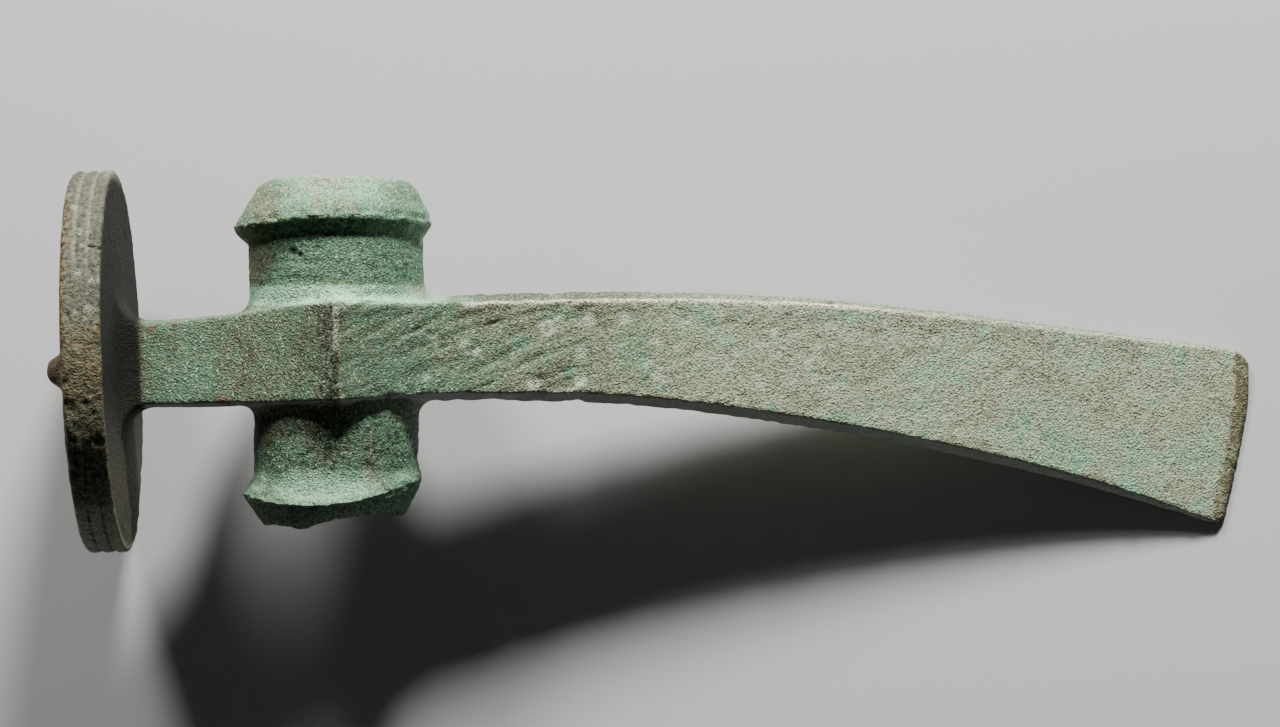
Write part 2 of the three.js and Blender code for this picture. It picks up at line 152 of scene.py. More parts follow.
# How ragged the lips are, and the heights between which the rim's grooves are worn
# away, with their fade
TOP_RAGGED = 0.6
FOOT_RAGGED = 1.1
WORN_RIM = (-25, 15, 4)

# Small dents: place on the casting, radius and depth
DENTS = [
    ((-7.0, 18.5, 15.0), 1.3, 0.6),
    ((-5.6, 17.9, 15.6), 0.9, 0.5),
    ((11.6, 33.0, 8.4), 1.2, 0.8),
    ((11.7, -9.2, 14.0), 1.9, 0.9),
    ((113.8, 7.3, 3.5), 1.2, 0.8),
    ((172.0, -22.2, 0.3), 0.9, 0.35),
    ((20.0, 1.2, 9.0), 1.1, 0.25),
    ((22.5, 2.0, 8.0), 1.0, 0.2),
]

# The crack from the rim's inner edge: its two ends, by depth into the disc and height,
# and its own width and depth
RIM_CRACK = ((-0.3, 18.9), (2.3, 19.4))
CRACK_WIDTH = 0.45
CRACK_DEPTH = 0.7

# How much of the corrosion the sizes above already allow for
EVEN_LOSS = 0.25

# Fineness
TURNED_SIDES = 96
ROUND_STEPS = 5
PLAN_STEPS = 12
BLADE_STEPS = 32
OVERLAP = 1.5
FILLET_MARGIN = 0.4
MERGE_DISTANCE = 0.001
VOXEL = 0.42
TRIANGLES = 190000


def mixed(a, b, share):
    return a + (b - a) * share


def ramp(value, start, end):
    """Climbs smoothly from 0 at start to 1 at end, for numbers or arrays"""
    share = np.clip((value - start) / (end - start), 0, 1)
    return share * share * (3 - 2 * share)


def band(value, low, high, soft):
    """1 from low to high, fading to 0 over soft on each side"""
    return ramp(value, low - soft, low) * (1 - ramp(value, high, high + soft))


def smooth_through(points):
    """A smooth function through points of (place, value), flat beyond its ends"""
    places, values = np.array(points, dtype=float).T
    steps = np.arange(len(places))
    after = np.minimum(steps + 1, len(places) - 1)
    before = np.maximum(steps - 1, 0)
    slopes = (values[after] - values[before]) / (places[after] - places[before])

    def value_at(place):
        i = np.clip(np.searchsorted(places, place, side="right") - 1, 0, len(places) - 2)
        run = places[i + 1] - places[i]
        share = np.clip((place - places[i]) / run, 0, 1)
        lift = share ** 2 * (3 - 2 * share)
        start_pull = share * (1 - share) ** 2 * slopes[i] * run
        end_pull = share ** 2 * (1 - share) * slopes[i + 1] * run
        return values[i] + (values[i + 1] - values[i]) * lift + start_pull - end_pull

    return value_at


def rounded(start, bulge, finish, steps=ROUND_STEPS):
    """Points of a quarter round between two profile points, bulging to a third"""
    points = []
    for step in range(steps + 1):
        share = step / steps
        near = [mixed(a, b, share) for a, b in zip(start, bulge)]
        far = [mixed(a, b, share) for a, b in zip(bulge, finish)]
        points.append(tuple(mixed(a, b, share) for a, b in zip(near, far)))
    return points


def plan_curve(*handles):
    """Points of a curve in plan through two ends and two handles"""
    start, leave, arrive, finish = (Vector(handle) for handle in handles)
    return interpolate_bezier(start, leave, arrive, finish, PLAN_STEPS)


# The lines that the body follows from the disc to the cutting edge
BLADE_SPAN = BLADE_REACH - BLADE_ROOT
FOOT_SPAN = BLADE_SPAN - EDGE_SETBACK


def along_blade(line, span):
    return [(BLADE_ROOT + span * i / (len(line) - 1), y) for i, y in enumerate(line)]


crest = smooth_through([
    (-DISC_REACH, NECK_TOP),
    (-DISC_REACH / 2, NECK_WAIST_TOP),
    (ARRIS_PLACE, BODY_TOP),
    *along_blade(BLADE_TOP_LINE, BLADE_SPAN),
])
keel = smooth_through([
    (-DISC_REACH, -NECK_FOOT),
    (-DISC_REACH / 2, -NECK_WAIST_FOOT),
    (ARRIS_PLACE, -BODY_FOOT),
    *along_blade(BLADE_FOOT_LINE, FOOT_SPAN),
])
top_ridge = smooth_through([
    (-DISC_REACH, NECK_RIDGE),
    (ARRIS_PLACE, ARRIS_TOP_RIDGE),
    (BLADE_ROOT, BLADE_RIDGE),
    (BLADE_ROOT + BLADE_SPAN / 2, BLADE_MIDDLE_TOP_RIDGE),
    (BLADE_REACH, EDGE_RIDGE),
])
foot_ridge = smooth_through([
    (-DISC_REACH, NECK_RIDGE),
    (ARRIS_PLACE, NECK_RIDGE),
    (BLADE_ROOT, BLADE_RIDGE),
    (BLADE_ROOT + BLADE_SPAN * 0.8, BLADE_RIDGE),
    (BLADE_REACH, EDGE_RIDGE),
])
blade_thickness = smooth_through([
    (BLADE_ROOT, BLADE_HALF_WIDTH),
    (BLADE_REACH - BEVEL_LENGTH, BEVEL_HALF_WIDTH),
    (BLADE_REACH, EDGE_HALF_WIDTH),
])
NECK_START = -DISC_REACH + FLARE_RADIUS
neck_plan = plan_curve(
    (NECK_START, NECK_HALF_WIDTH),
    ((NECK_START + ARRIS_PLACE - ARRIS_NECK_RUN) / 2, NECK_HALF_WIDTH),
    (ARRIS_PLACE - ARRIS_NECK_RUN, ARRIS_HALF_WIDTH - ARRIS_NECK_RUN * ARRIS_NECK_SLOPE),
    (ARRIS_PLACE, ARRIS_HALF_WIDTH),
)
root_plan = plan_curve(
    (ARRIS_PLACE, ARRIS_HALF_WIDTH),
    (ARRIS_PLACE + ARRIS_BLADE_RUN, ARRIS_HALF_WIDTH - ARRIS_BLADE_RUN * ARRIS_BLADE_SLOPE),
    ((ARRIS_PLACE + ARRIS_BLADE_RUN + BLADE_ROOT) / 2, BLADE_HALF_WIDTH + BLADE_ROOT_SWELL),
    (BLADE_ROOT, BLADE_HALF_WIDTH),
)
BODY_PLAN = np.array([*neck_plan, *root_plan[1:]])


def station(top_x, foot_x, half):
    """One section of the body: its top and foot ends, half width and ridge heights"""
    return {
        "top": (top_x, float(crest(top_x))),
        "foot": (foot_x, float(keel(foot_x))),
        "half": float(half),
        "ridges": (float(top_ridge(top_x)), float(foot_ridge(top_x))),
    }


def flare_stations():
    """Sections from inside the disc out along the flare to the neck"""
    made = []
    for step in range(-1, ROUND_STEPS):
        run = FLARE_RADIUS * max(step / ROUND_STEPS, 0) ** 1.5
        swell = FLARE_RADIUS - math.sqrt(FLARE_RADIUS ** 2 - (FLARE_RADIUS - run) ** 2)
        depth = -OVERLAP if step < 0 else run
        start = -DISC_REACH + depth
        top = float(crest(-DISC_REACH + run)) + swell
        foot = float(keel(-DISC_REACH + run)) - swell
        lean = math.tan(DISC_LEAN) * (1 - run / FLARE_RADIUS)
        made.append({
            "top": (start - lean * (top + DISC_DROP), top),
            "foot": (start - lean * (foot + DISC_DROP), foot),
            "half": NECK_HALF_WIDTH + swell,
            "ridges": (NECK_RIDGE, NECK_RIDGE),
        })
    return made


def blade_stations():
    """Sections from the blade's root to its edge, the last ones round its corners"""
    made = []
    corner_start = 1 - TOP_CORNER_ROUND / BLADE_SPAN
    foot_start = 1 - FOOT_CORNER_ROUND / FOOT_SPAN
    for step in range(1, BLADE_STEPS + 1):
        share = step / BLADE_STEPS
        top_x = BLADE_ROOT + BLADE_SPAN * corner_start * share
        foot_x = BLADE_ROOT + FOOT_SPAN * foot_start * share
        made.append(station(top_x, foot_x, blade_thickness(top_x)))
    last = made[-1]
    top_corner = Vector((BLADE_REACH, float(crest(BLADE_REACH))))
    foot_place = BLADE_REACH - EDGE_SETBACK
    foot_corner = Vector((foot_place, float(keel(foot_place))))
    edge = (foot_corner - top_corner).normalized()
    top_arc = rounded(last["top"], top_corner, top_corner + edge * TOP_CORNER_ROUND)
    foot_arc = rounded(last["foot"], foot_corner, foot_corner - edge * FOOT_CORNER_ROUND)
    for step in range(1, ROUND_STEPS + 1):
        made.append({
            "top": top_arc[step],
            "foot": foot_arc[step],
            "half": mixed(last["half"], EDGE_HALF_WIDTH, step / ROUND_STEPS),
            "ridges": (EDGE_RIDGE, EDGE_RIDGE),
        })
    return made


# Working by hand in edit mode
def select_only(*pieces):
    bpy.ops.object.select_all(action="DESELECT")
    for piece in pieces:
        piece.select_set(True)
    bpy.context.view_layer.objects.active = pieces[0]


def new_piece(name):
    """Names the primitive just added and opens it for editing"""
    piece = bpy.context.object
    piece.name = name
    piece.data.name = name
    bpy.ops.object.mode_set(mode="EDIT")
    return piece


def select_corners(mesh, corners):
    for corner in mesh.verts:
        corner.select = False
    for corner in corners:
        corner.select = True
    mesh.select_flush_mode()
    bmesh.update_edit_mesh(bpy.context.object.data)


def move_row(mesh, row, place):
    """Moves a row of corners in the middle plane so that it lies at a place"""
    select_corners(mesh, row)
    shift = (place[0] - row[0].co.x, place[1] - row[0].co.y, 0)
    bpy.ops.transform.translate(value=shift)


def fit_section(target):
    """Shapes the six selected corners of the body's end to one section"""
    mesh = bmesh.from_edit_mesh(bpy.context.object.data)
    ring = [corner for corner in mesh.verts if corner.select]
    ring.sort(key=lambda corner: corner.co.y)
    half = max(corner.co.z for corner in ring)
    bpy.ops.transform.resize(value=(1, 1, target["half"] / half), center_override=(0, 0, 0))
    top_x, top_y = target["top"]
    foot_x, foot_y = target["foot"]
    top_rise, foot_rise = target["ridges"]
    move_row(mesh, ring[5:], (top_x, top_y))
    move_row(mesh, ring[3:5], (top_x, top_y - top_rise))
    move_row(mesh, ring[1:3], (foot_x, foot_y + foot_rise))
    move_row(mesh, ring[:1], (foot_x, foot_y))
    select_corners(mesh, ring)


def model_body():
    """The neck, body and blade, drawn out section by section from a six-sided face"""
    stations = [
        *flare_stations(),
        *(station(x, x, half) for x, half in BODY_PLAN),
        *blade_stations(),
    ]
    bpy.ops.object.select_all(action="DESELECT")
    bpy.ops.mesh.primitive_circle_add(
        vertices=6,
        radius=NECK_FOOT,
        fill_type="NGON",
        rotation=(0, math.pi / 2, 0),
    )
    bpy.ops.object.transform_apply()
    piece = new_piece("body")
    bpy.ops.mesh.select_all(action="SELECT")
    fit_section(stations[0])
    for target in stations[1:]:
        bpy.ops.mesh.extrude_region_move()
        fit_section(target)
    close_edit()
    return piece


def close_edit():
    """Turns all faces outwards and leaves edit mode"""
    bpy.ops.mesh.select_all(action="SELECT")
    bpy.ops.mesh.remove_doubles(threshold=MERGE_DISTANCE)
    bpy.ops.mesh.normals_make_consistent(inside=False)
    bpy.ops.object.mode_set(mode="OBJECT")


def turn_profile(name, profile):
    """Draws a profile of (radius, height) from point to point and spins it round Y"""
    bpy.ops.object.select_all(action="DESELECT")
    bpy.ops.mesh.primitive_plane_add(size=1)
    piece = new_piece(name)
    bpy.ops.mesh.select_all(action="SELECT")
    bpy.ops.mesh.merge(type="CENTER")
    bpy.ops.transform.translate(value=(*profile[0], 0))
    for start, finish in zip(profile, profile[1:]):
        step = (finish[0] - start[0], finish[1] - start[1], 0)
        bpy.ops.mesh.extrude_region_move(TRANSFORM_OT_translate={"value": step})
    bpy.ops.mesh.select_all(action="SELECT")
    bpy.ops.mesh.spin(
        steps=TURNED_SIDES,
        angle=math.tau,
        center=(0, 0, 0),
        axis=(0, 1, 0),
    )
    close_edit()
    return piece


# The disc's own frame: its inner face at height 0, its thickness up the local Y axis
ON_DISC = (
    Matrix.Translation((-DISC_REACH, -DISC_DROP, 0))
    @ Matrix.Rotation(DISC_LEAN, 4, "Z")
    @ Matrix.Rotation(math.pi / 2, 4, "Z")
)


def place_on_disc(piece, drop=0):
    """Sets a piece turned about Y on the axe's leaning disc"""
    piece.matrix_world = ON_DISC @ Matrix.Translation((-drop, 0, 0))
    select_only(piece)
    bpy.ops.object.transform_apply()


def model_disc():
    """The disc butt with its banded rim"""
    profile = [
        (0, 0),
        *rounded(
            (DISC_RADIUS - RIM_INNER_ROUND, 0),
            (DISC_RADIUS, 0),
            (DISC_RADIUS, RIM_INNER_ROUND),
        ),
    ]
    for line in range(1, RIM_BANDS):
        middle = DISC_THICKNESS * line / RIM_BANDS
        profile += [
            (DISC_RADIUS, middle - RIM_GROOVE_WIDTH / 2),
            (DISC_RADIUS - RIM_GROOVE_DEPTH, middle),
            (DISC_RADIUS, middle + RIM_GROOVE_WIDTH / 2),
        ]
    profile += rounded(
        (DISC_RADIUS, DISC_THICKNESS - RIM_OUTER_ROUND),
        (DISC_RADIUS, DISC_THICKNESS),
        (DISC_RADIUS - RIM_OUTER_ROUND, DISC_THICKNESS),
    )
    profile.append((0, DISC_THICKNESS))
    piece = turn_profile("disc", profile)
    place_on_disc(piece)
    return piece


def model_knob():
    """The conical knob on the disc's outer face"""
    shoulder = KNOB_HEIGHT - sum(rise for rise, narrowing in KNOB_END)
    depth = shoulder + OVERLAP
    bpy.ops.object.select_all(action="DESELECT")
    bpy.ops.mesh.primitive_cone_add(
        vertices=TURNED_SIDES // 2,
        radius1=KNOB_RADIUS * depth / shoulder,
        radius2=KNOB_SHOULDER_RADIUS,
        depth=depth,
        location=(0, DISC_THICKNESS - OVERLAP + depth / 2, 0),
        rotation=(-math.pi / 2, 0, 0),
    )
    bpy.ops.object.transform_apply()
    piece = new_piece("knob")
    bpy.ops.mesh.select_all(action="DESELECT")
    mesh = bmesh.from_edit_mesh(piece.data)
    highest = max(corner.co.y for corner in mesh.verts)
    select_corners(mesh, [corner for corner in mesh.verts if corner.co.y > highest - 0.01])
    for rise, narrowing in KNOB_END:
        bpy.ops.mesh.extrude_region_move(TRANSFORM_OT_translate={"value": (0, rise, 0)})
        bpy.ops.transform.resize(value=(narrowing, 1, narrowing), center_override=(0, 0, 0))
    close_edit()
    place_on_disc(piece, KNOB_DROP)
    return piece


# How the tube is warped at a height: shifted towards the butt, bowed at front and
# back, and slanted across
collar_offset = smooth_through([
    (-FOOT_LIP_HEIGHT, COLLAR_SHIFT / 2),
    (-FOOT_FLANGE_HEIGHT, COLLAR_SHIFT),
    (-FOOT_COVE_TOP, COLLAR_SHIFT / 3),
    (-BODY_FOOT, 0),
    (BODY_TOP, 0),
    (TOP_FLANGE_UNDER, COLLAR_SHIFT / 3),
    (TOP_FLANGE_HEIGHT, COLLAR_SHIFT),
    (TOP_LIP_HEIGHT, 0),
])
collar_bow = smooth_through([
    (-FOOT_LIP_HEIGHT, 0),
    (-FOOT_FLANGE_HEIGHT, -FOOT_FLANGE_BOW),
    (-FOOT_COVE_TOP, -FOOT_FLANGE_BOW),
    (-BODY_FOOT, 0),
    (BODY_TOP, 0),
    (TOP_FLANGE_UNDER, TOP_FLANGE_BOW),
    (TOP_FLANGE_HEIGHT, TOP_FLANGE_BOW),
    (TOP_LIP_HEIGHT, 0),
])
collar_slant = smooth_through([
    (-FOOT_LIP_HEIGHT, FOOT_FLANGE_SLANT),
    (-FOOT_COVE_TOP, FOOT_FLANGE_SLANT),
    (-BODY_FOOT, 0),
    (BODY_TOP, 0),
    (TOP_FLANGE_UNDER, TOP_FLANGE_SLANT),
    (TOP_FLANGE_HEIGHT, TOP_FLANGE_SLANT),
    (TOP_LIP_HEIGHT, 0),
])


def model_tube():
    """The shaft tube with a flanged collar at each mouth"""
    cove_middle = -FOOT_COVE_TOP - FOOT_COVE / 3
    profile = [
        (0, -FOOT_LIP_HEIGHT),
        *rounded(
            (FOOT_LIP_RADIUS - LIP_ROUND, -FOOT_LIP_HEIGHT),
            (FOOT_LIP_RADIUS, -FOOT_LIP_HEIGHT),
            (FOOT_LIP_RADIUS + LIP_ROUND / 2, -FOOT_LIP_HEIGHT + LIP_ROUND),
        ),
        (FOOT_FLANGE_RADIUS, -FOOT_FLANGE_HEIGHT),
        *rounded(
            (FOOT_FLANGE_RADIUS - LIP_ROUND / 2, -FOOT_FLANGE_HEIGHT + LIP_ROUND),
            (TUBE_FOOT_RADIUS, cove_middle),
            (TUBE_FOOT_RADIUS, -FOOT_COVE_TOP + FOOT_COVE / 2),
        ),
        (TUBE_FOOT_RADIUS, -BODY_FOOT - ROOT_FILLET),
        (TUBE_FOOT_RADIUS, -BODY_FOOT),
        (TUBE_TOP_RADIUS, BODY_TOP),
        (TUBE_TOP_RADIUS, BODY_TOP + ROOT_FILLET),
        (TUBE_TOP_RADIUS, TOP_FLANGE_UNDER),
        (TOP_FLANGE_RADIUS - LIP_ROUND / 3, TOP_FLANGE_HEIGHT - LIP_ROUND),
        (TOP_FLANGE_RADIUS, TOP_FLANGE_HEIGHT),
        *rounded(
            (TOP_LIP_RADIUS + LIP_ROUND / 2, TOP_LIP_HEIGHT - LIP_ROUND),
            (TOP_LIP_RADIUS, TOP_LIP_HEIGHT),
            (TOP_LIP_RADIUS - LIP_ROUND, TOP_LIP_HEIGHT),
        ),
        (0, TOP_LIP_HEIGHT),
    ]
    piece = turn_profile("tube", profile)
    for corner in piece.data.vertices:
        x, y, z = corner.co
        facing = math.sin(math.atan2(z, x)) ** 2
        corner.co.x = x + TUBE_SHIFT - collar_offset(y)
        corner.co.y = y + collar_slant(y) * x + collar_bow(y) * facing
    return piece


def plan_half_width(x):
    """Half the body's width in plan at a place along it"""
    return np.interp(x, BODY_PLAN[:, 0], BODY_PLAN[:, 1])


def fillet_reach(radius, angle):
    """How far a fillet spreads from the tube in a direction and stays on the body"""
    for reach in np.arange(ROOT_FILLET, FILLET_MARGIN, -FILLET_MARGIN / 2):
        far = radius + reach + FILLET_MARGIN
        if far * abs(math.sin(angle)) <= plan_half_width(TUBE_SHIFT + far * math.cos(angle)):
            return reach
    return FILLET_MARGIN


def model_root_fillet(name, radius, line, ridge, side):
    """A concave fillet between the tube and the body's top (side 1) or foot (side -1)"""
    profile = [
        (0, -ROOT_FILLET),
        (radius + ROOT_FILLET, -ROOT_FILLET),
        *rounded((radius + ROOT_FILLET, 0), (radius, 0), (radius, ROOT_FILLET)),
        (0, ROOT_FILLET),
    ]
    piece = turn_profile(name, profile)
    for corner in piece.data.vertices:
        x, y, z = corner.co
        angle = math.atan2(z, x)
        spread = fillet_reach(radius, angle) / ROOT_FILLET
        flat = math.hypot(x, z)
        far = radius + (flat - radius) * spread if flat > radius else flat
        x = TUBE_SHIFT + far * math.cos(angle)
        z = far * math.sin(angle)
        height = y * spread if y > 0 else y
        across = min(abs(z) / plan_half_width(x), 1)
        surface = side * line(x) - ridge(x) * across
        corner.co = (x, side * (surface + height), side * z)
    return piece


def model_hole():
    """The tapered shaft hole, as a cutter"""
    depth = 2 * (TOP_LIP_HEIGHT + 4 * OVERLAP)
    bpy.ops.object.select_all(action="DESELECT")
    bpy.ops.mesh.primitive_cone_add(
        vertices=TURNED_SIDES,
        radius1=HOLE_FOOT_RADIUS,
        radius2=HOLE_TOP_RADIUS,
        depth=depth,
        location=(TUBE_SHIFT, 0, 0),
        rotation=(-math.pi / 2, 0, 0),
    )
    bpy.ops.object.transform_apply()
    return bpy.context.object


def model_lip_cut(cut, level, side, lip_radius):
    """A round-bottomed cutter across the front of a lip"""
    width, depth, place = cut
    radius = (width ** 2 / 4 + depth ** 2) / (2 * depth)
    bpy.ops.object.select_all(action="DESELECT")
    bpy.ops.mesh.primitive_cylinder_add(
        vertices=TURNED_SIDES,
        radius=radius,
        depth=lip_radius,
        location=(place, side * (level + radius - depth), lip_radius),
    )
    bpy.ops.object.transform_apply()
    return bpy.context.object


def combine(piece, other, operation):
    """Joins another solid to a piece, or cuts it away, and deletes the other"""
    select_only(piece)
    cut = piece.modifiers.new("combine", "BOOLEAN")
    cut.object = other
    cut.operation = operation
    cut.solver = "EXACT"
    bpy.ops.object.modifier_apply(modifier=cut.name)
    bpy.data.objects.remove(other)


def remesh(piece):
    """Gives the casting one even skin"""
    select_only(piece)
    skin = piece.modifiers.new("skin", "REMESH")
    skin.mode = "VOXEL"
    skin.voxel_size = VOXEL
    bpy.ops.object.modifier_apply(modifier=skin.name)


def model_casting():
    piece = model_body()
    solids = [
        model_disc(),
        model_knob(),
        model_tube(),
        model_root_fillet("top_fillet", TUBE_TOP_RADIUS, crest, top_ridge, 1),
        model_root_fillet("foot_fillet", TUBE_FOOT_RADIUS, keel, foot_ridge, -1),
    ]
    for solid in solids:
        combine(piece, solid, "UNION")
    combine(piece, model_hole(), "DIFFERENCE")
    notch = model_lip_cut(TOP_NOTCH, TOP_LIP_HEIGHT, 1, TOP_LIP_RADIUS)
    combine(piece, notch, "DIFFERENCE")
    chip_level = FOOT_LIP_HEIGHT - FOOT_FLANGE_SLANT * FOOT_CHIP[2]
    chip = model_lip_cut(FOOT_CHIP, chip_level, -1, FOOT_LIP_RADIUS)
    combine(piece, chip, "DIFFERENCE")
    remesh(piece)
    return piece


# Reading and writing all the corners of a mesh at once
def places_of(mesh):
    flat = np.empty(len(mesh.vertices) * 3, dtype=np.float32)
    mesh.vertices.foreach_get("co", flat)
    return flat.reshape(-1, 3).astype(float)


def normals_of(mesh):
    flat = np.empty(len(mesh.vertices) * 3, dtype=np.float32)
    mesh.vertex_normals.foreach_get("vector", flat)
    return flat.reshape(-1, 3).astype(float)


def set_places(mesh, places):
    mesh.vertices.foreach_set("co", places.astype(np.float32).ravel())
    mesh.update()


def relax(mesh, places, share, rounds):
    """Evens corners out towards their neighbours, each by its own share"""
    pairs = np.empty(len(mesh.edges) * 2, dtype=np.int32)
    mesh.edges.foreach_get("vertices", pairs)
    a, b = pairs.reshape(-1, 2).T
    count = len(places)
    neighbours = np.bincount(a, minlength=count) + np.bincount(b, minlength=count)
    neighbours = np.maximum(neighbours, 1)[:, None]
    for _ in range(rounds):
        total = np.empty_like(places)
        for axis in range(3):
            values = places[:, axis]
            total[:, axis] = np.bincount(a, values[b], count) + np.bincount(b, values[a], count)
        places = mixed(places, total / neighbours, share[:, None])
    return places


# Repeatable random fields over the casting
def dice(cells, seed):
    """A number from 0 to 1 for each whole-numbered cell"""
    primes = np.array([73856093, 19349663, 83492791], dtype=np.int64)
    value = (cells.astype(np.int64) * primes).sum(axis=-1) + seed * 961748927
    value = (value ^ (value >> 13)) * 1274126177
    value = value ^ (value >> 16)
    return (value & 0xFFFFF) / 0xFFFFF


def lumps(places, size, seed):
    """Smooth unevenness from 0 to 1, with features of a size"""
    scaled = places / size
    cells = np.floor(scaled)
    share = scaled - cells
    share = share * share * (3 - 2 * share)
    total = 0
    for step in np.ndindex(2, 2, 2):
        weight = np.where(step, share, 1 - share).prod(axis=-1)
        total = total + weight * dice(cells + step, seed)
    return total


def pits(places, size, share, seed):
    """Round pits from 0 to 1 deep, in a share of the cells of a size"""
    scaled = places / size
    cells = np.floor(scaled)
    deepest = np.zeros(len(places))
    for step in np.ndindex(3, 3, 3):
        cell = cells + step - 1
        centre = cell + np.stack([dice(cell, seed + axis) for axis in range(3)], axis=-1)
        radius = 0.3 + 0.45 * dice(cell, seed + 3)
        there = dice(cell, seed + 4) < share
        distance = np.linalg.norm(scaled - centre, axis=-1) / radius
        depth = np.clip(1 - distance ** 2, 0, 1) ** 1.5
        deepest = np.maximum(deepest, depth * radius * there)
    return deepest


def disc_frame(places):
    """Height out of the disc's inner face and distance from its axis"""
    local = places @ np.array(ON_DISC.inverted().to_3x3()).T
    local = local + np.array(ON_DISC.inverted().translation)
    return local[:, 1], np.hypot(local[:, 0], local[:, 2])


def near_tube(places):
    """1 on the shaft tube and its collars, 0 past them"""
    round_tube = np.hypot(places[:, 0] - TUBE_SHIFT, places[:, 2])
    return 1 - ramp(round_tube, TOP_FLANGE_RADIUS + 1, TOP_FLANGE_RADIUS + 3)


def regions(places):
    """Where each part of the casting is, as shares from 0 to 1"""
    x, y, z = places.T
    along, across = disc_frame(places)
    round_tube = np.hypot(x - TUBE_SHIFT, z)
    tube = near_tube(places)
    above = ramp(y, BODY_TOP + 1, BODY_TOP + 2.5)
    below = ramp(-y, BODY_FOOT + 1, BODY_FOOT + 2.5)
    return {
        "disc": ramp(along, -1.0, 0.5),
        "rim": ramp(across, DISC_RADIUS - 1.6, DISC_RADIUS - 0.6) * ramp(along, -1.0, 0.0),
        "knob": ramp(along, DISC_THICKNESS - 0.5, DISC_THICKNESS + 0.5) * (1 - ramp(across, 10, 12)),
        "hole": 1 - ramp(round_tube, HOLE_TOP_RADIUS + 0.3, HOLE_TOP_RADIUS + 1.2),
        "tube": tube * np.maximum(above, below),
        "top_collar": tube * ramp(y, TOP_FLANGE_UNDER - 0.5, TOP_FLANGE_UNDER + 1),
        "foot_collar": tube * ramp(-y, FOOT_COVE_TOP - 1, FOOT_COVE_TOP + 1),
        "blade": ramp(x, BLADE_ROOT - 8, BLADE_ROOT + 4),
    }


def towards_face(places):
    """1 towards the front and back of the tube, 0 towards the butt and blade"""
    x, _, z = places.T
    return z ** 2 / np.maximum(x ** 2 + z ** 2, 1)


def above_flange(places):
    """How far above the top flange's edge"""
    x, y, _ = places.T
    return y - TOP_FLANGE_HEIGHT - TOP_FLANGE_SLANT * x - TOP_FLANGE_BOW * towards_face(places)


def below_flange(places):
    """How far below the foot flange's edge"""
    x, y, _ = places.T
    return -y - FOOT_FLANGE_HEIGHT + FOOT_FLANGE_SLANT * x - FOOT_FLANGE_BOW * towards_face(places)


def flange_edges(places):
    """1 in a strip along each flange's edge"""
    top = band(above_flange(places), -0.3, 0.7, 0.9)
    foot = band(below_flange(places), -0.6, 0.5, 0.9)
    return np.maximum(top, foot)


def near_line(across, upward, start, finish, width):
    """1 on a line between two points of two coordinates, 0 from a width away"""
    run = np.subtract(finish, start)
    share = ((across - start[0]) * run[0] + (upward - start[1]) * run[1]) / (run @ run)
    share = np.clip(share, 0, 1)
    distance = np.hypot(across - start[0] - share * run[0], upward - start[1] - share * run[1])
    return 1 - ramp(distance, 0, width)


def front_crack(places):
    """The short crack across the front of the rim, from its inner edge"""
    along, across = disc_frame(places)
    line = near_line(along, places[:, 1], *RIM_CRACK, CRACK_WIDTH)
    return line * ramp(places[:, 2], 10, 12) * ramp(across, DISC_RADIUS - 1.5, DISC_RADIUS - 1)


def worn_lit_crease(places):
    """1 along the blade's top creases, worn bright by handling and given a painted highlight where
    they catch the light
    """
    x, y, z = places.T
    root_half = np.interp(x, [ARRIS_PLACE, BLADE_ROOT], [ARRIS_HALF_WIDTH, BLADE_HALF_WIDTH])
    half = np.where(x > BLADE_ROOT, blade_thickness(x), root_half)
    distance = np.hypot(y - crest(x) + top_ridge(x), np.abs(z) - half)
    shine = 0.3 + 0.7 * (1 - ramp(x, 90, 120))
    return shine * (1 - ramp(distance, 0.25, 0.9)) * band(x, BLADE_ROOT - 4, BLADE_REACH - 12, 5)


def wrinkles(places, slope, length, width, seed):
    """Long thin unevenness that climbs along the blade at a slope"""
    x, y, z = places.T
    along = x * math.cos(slope) + y * math.sin(slope)
    over = y * math.cos(slope) - x * math.sin(slope)
    return lumps(np.stack([along / length, over / width, z / length], axis=-1), 1, seed)


def soften(places, mesh):
    """Rounds the edges a little and the flares at the disc a good deal"""
    along, across = disc_frame(places)
    flare = band(along, -6.0, 0.3, 1.0) * (1 - ramp(across, 17, 21))
    rim = ramp(across, DISC_RADIUS - 1.6, DISC_RADIUS - 0.6)
    knob = ramp(along, DISC_THICKNESS + KNOB_HEIGHT / 2, DISC_THICKNESS + KNOB_HEIGHT)
    places = relax(mesh, places, 0.25 + 0.25 * flare - 0.2 * rim, 3)
    return relax(mesh, places, np.maximum(0.5 * flare, 0.3 * knob), 12)


def rim_grooves(places):
    """1 at the bottom of the rim's grooves"""
    along, across = disc_frame(places)
    groove = 0
    for line in range(1, RIM_BANDS):
        from_middle = np.abs(along - DISC_THICKNESS * line / RIM_BANDS)
        groove = groove + np.clip(1 - from_middle * 2 / RIM_GROOVE_WIDTH, 0, 1)
    return groove * ramp(across, DISC_RADIUS - 1.2, DISC_RADIUS - 0.8)


def wear_rim(places):
    """Fills the rim's grooves where they are worn away, at mid height"""
    _, y, z = places.T
    _, across = disc_frame(places)
    uneven = 8 * (lumps(places, 6, 40) - 0.5)
    worn = band(y + uneven, *WORN_RIM)
    lift = rim_grooves(places) * worn * RIM_GROOVE_DEPTH
    height, away = y + DISC_DROP, np.maximum(across, 1)
    places = places.copy()
    places[:, 1] += lift * height / away
    places[:, 2] += lift * z / away
    return places


# How far the foot lip hangs below its round at the front, along the axe
foot_lip_sag = smooth_through([(-11, 0.0), (-6, 0.9), (1, 0.5), (7, 0.2), (12, 0.8)])


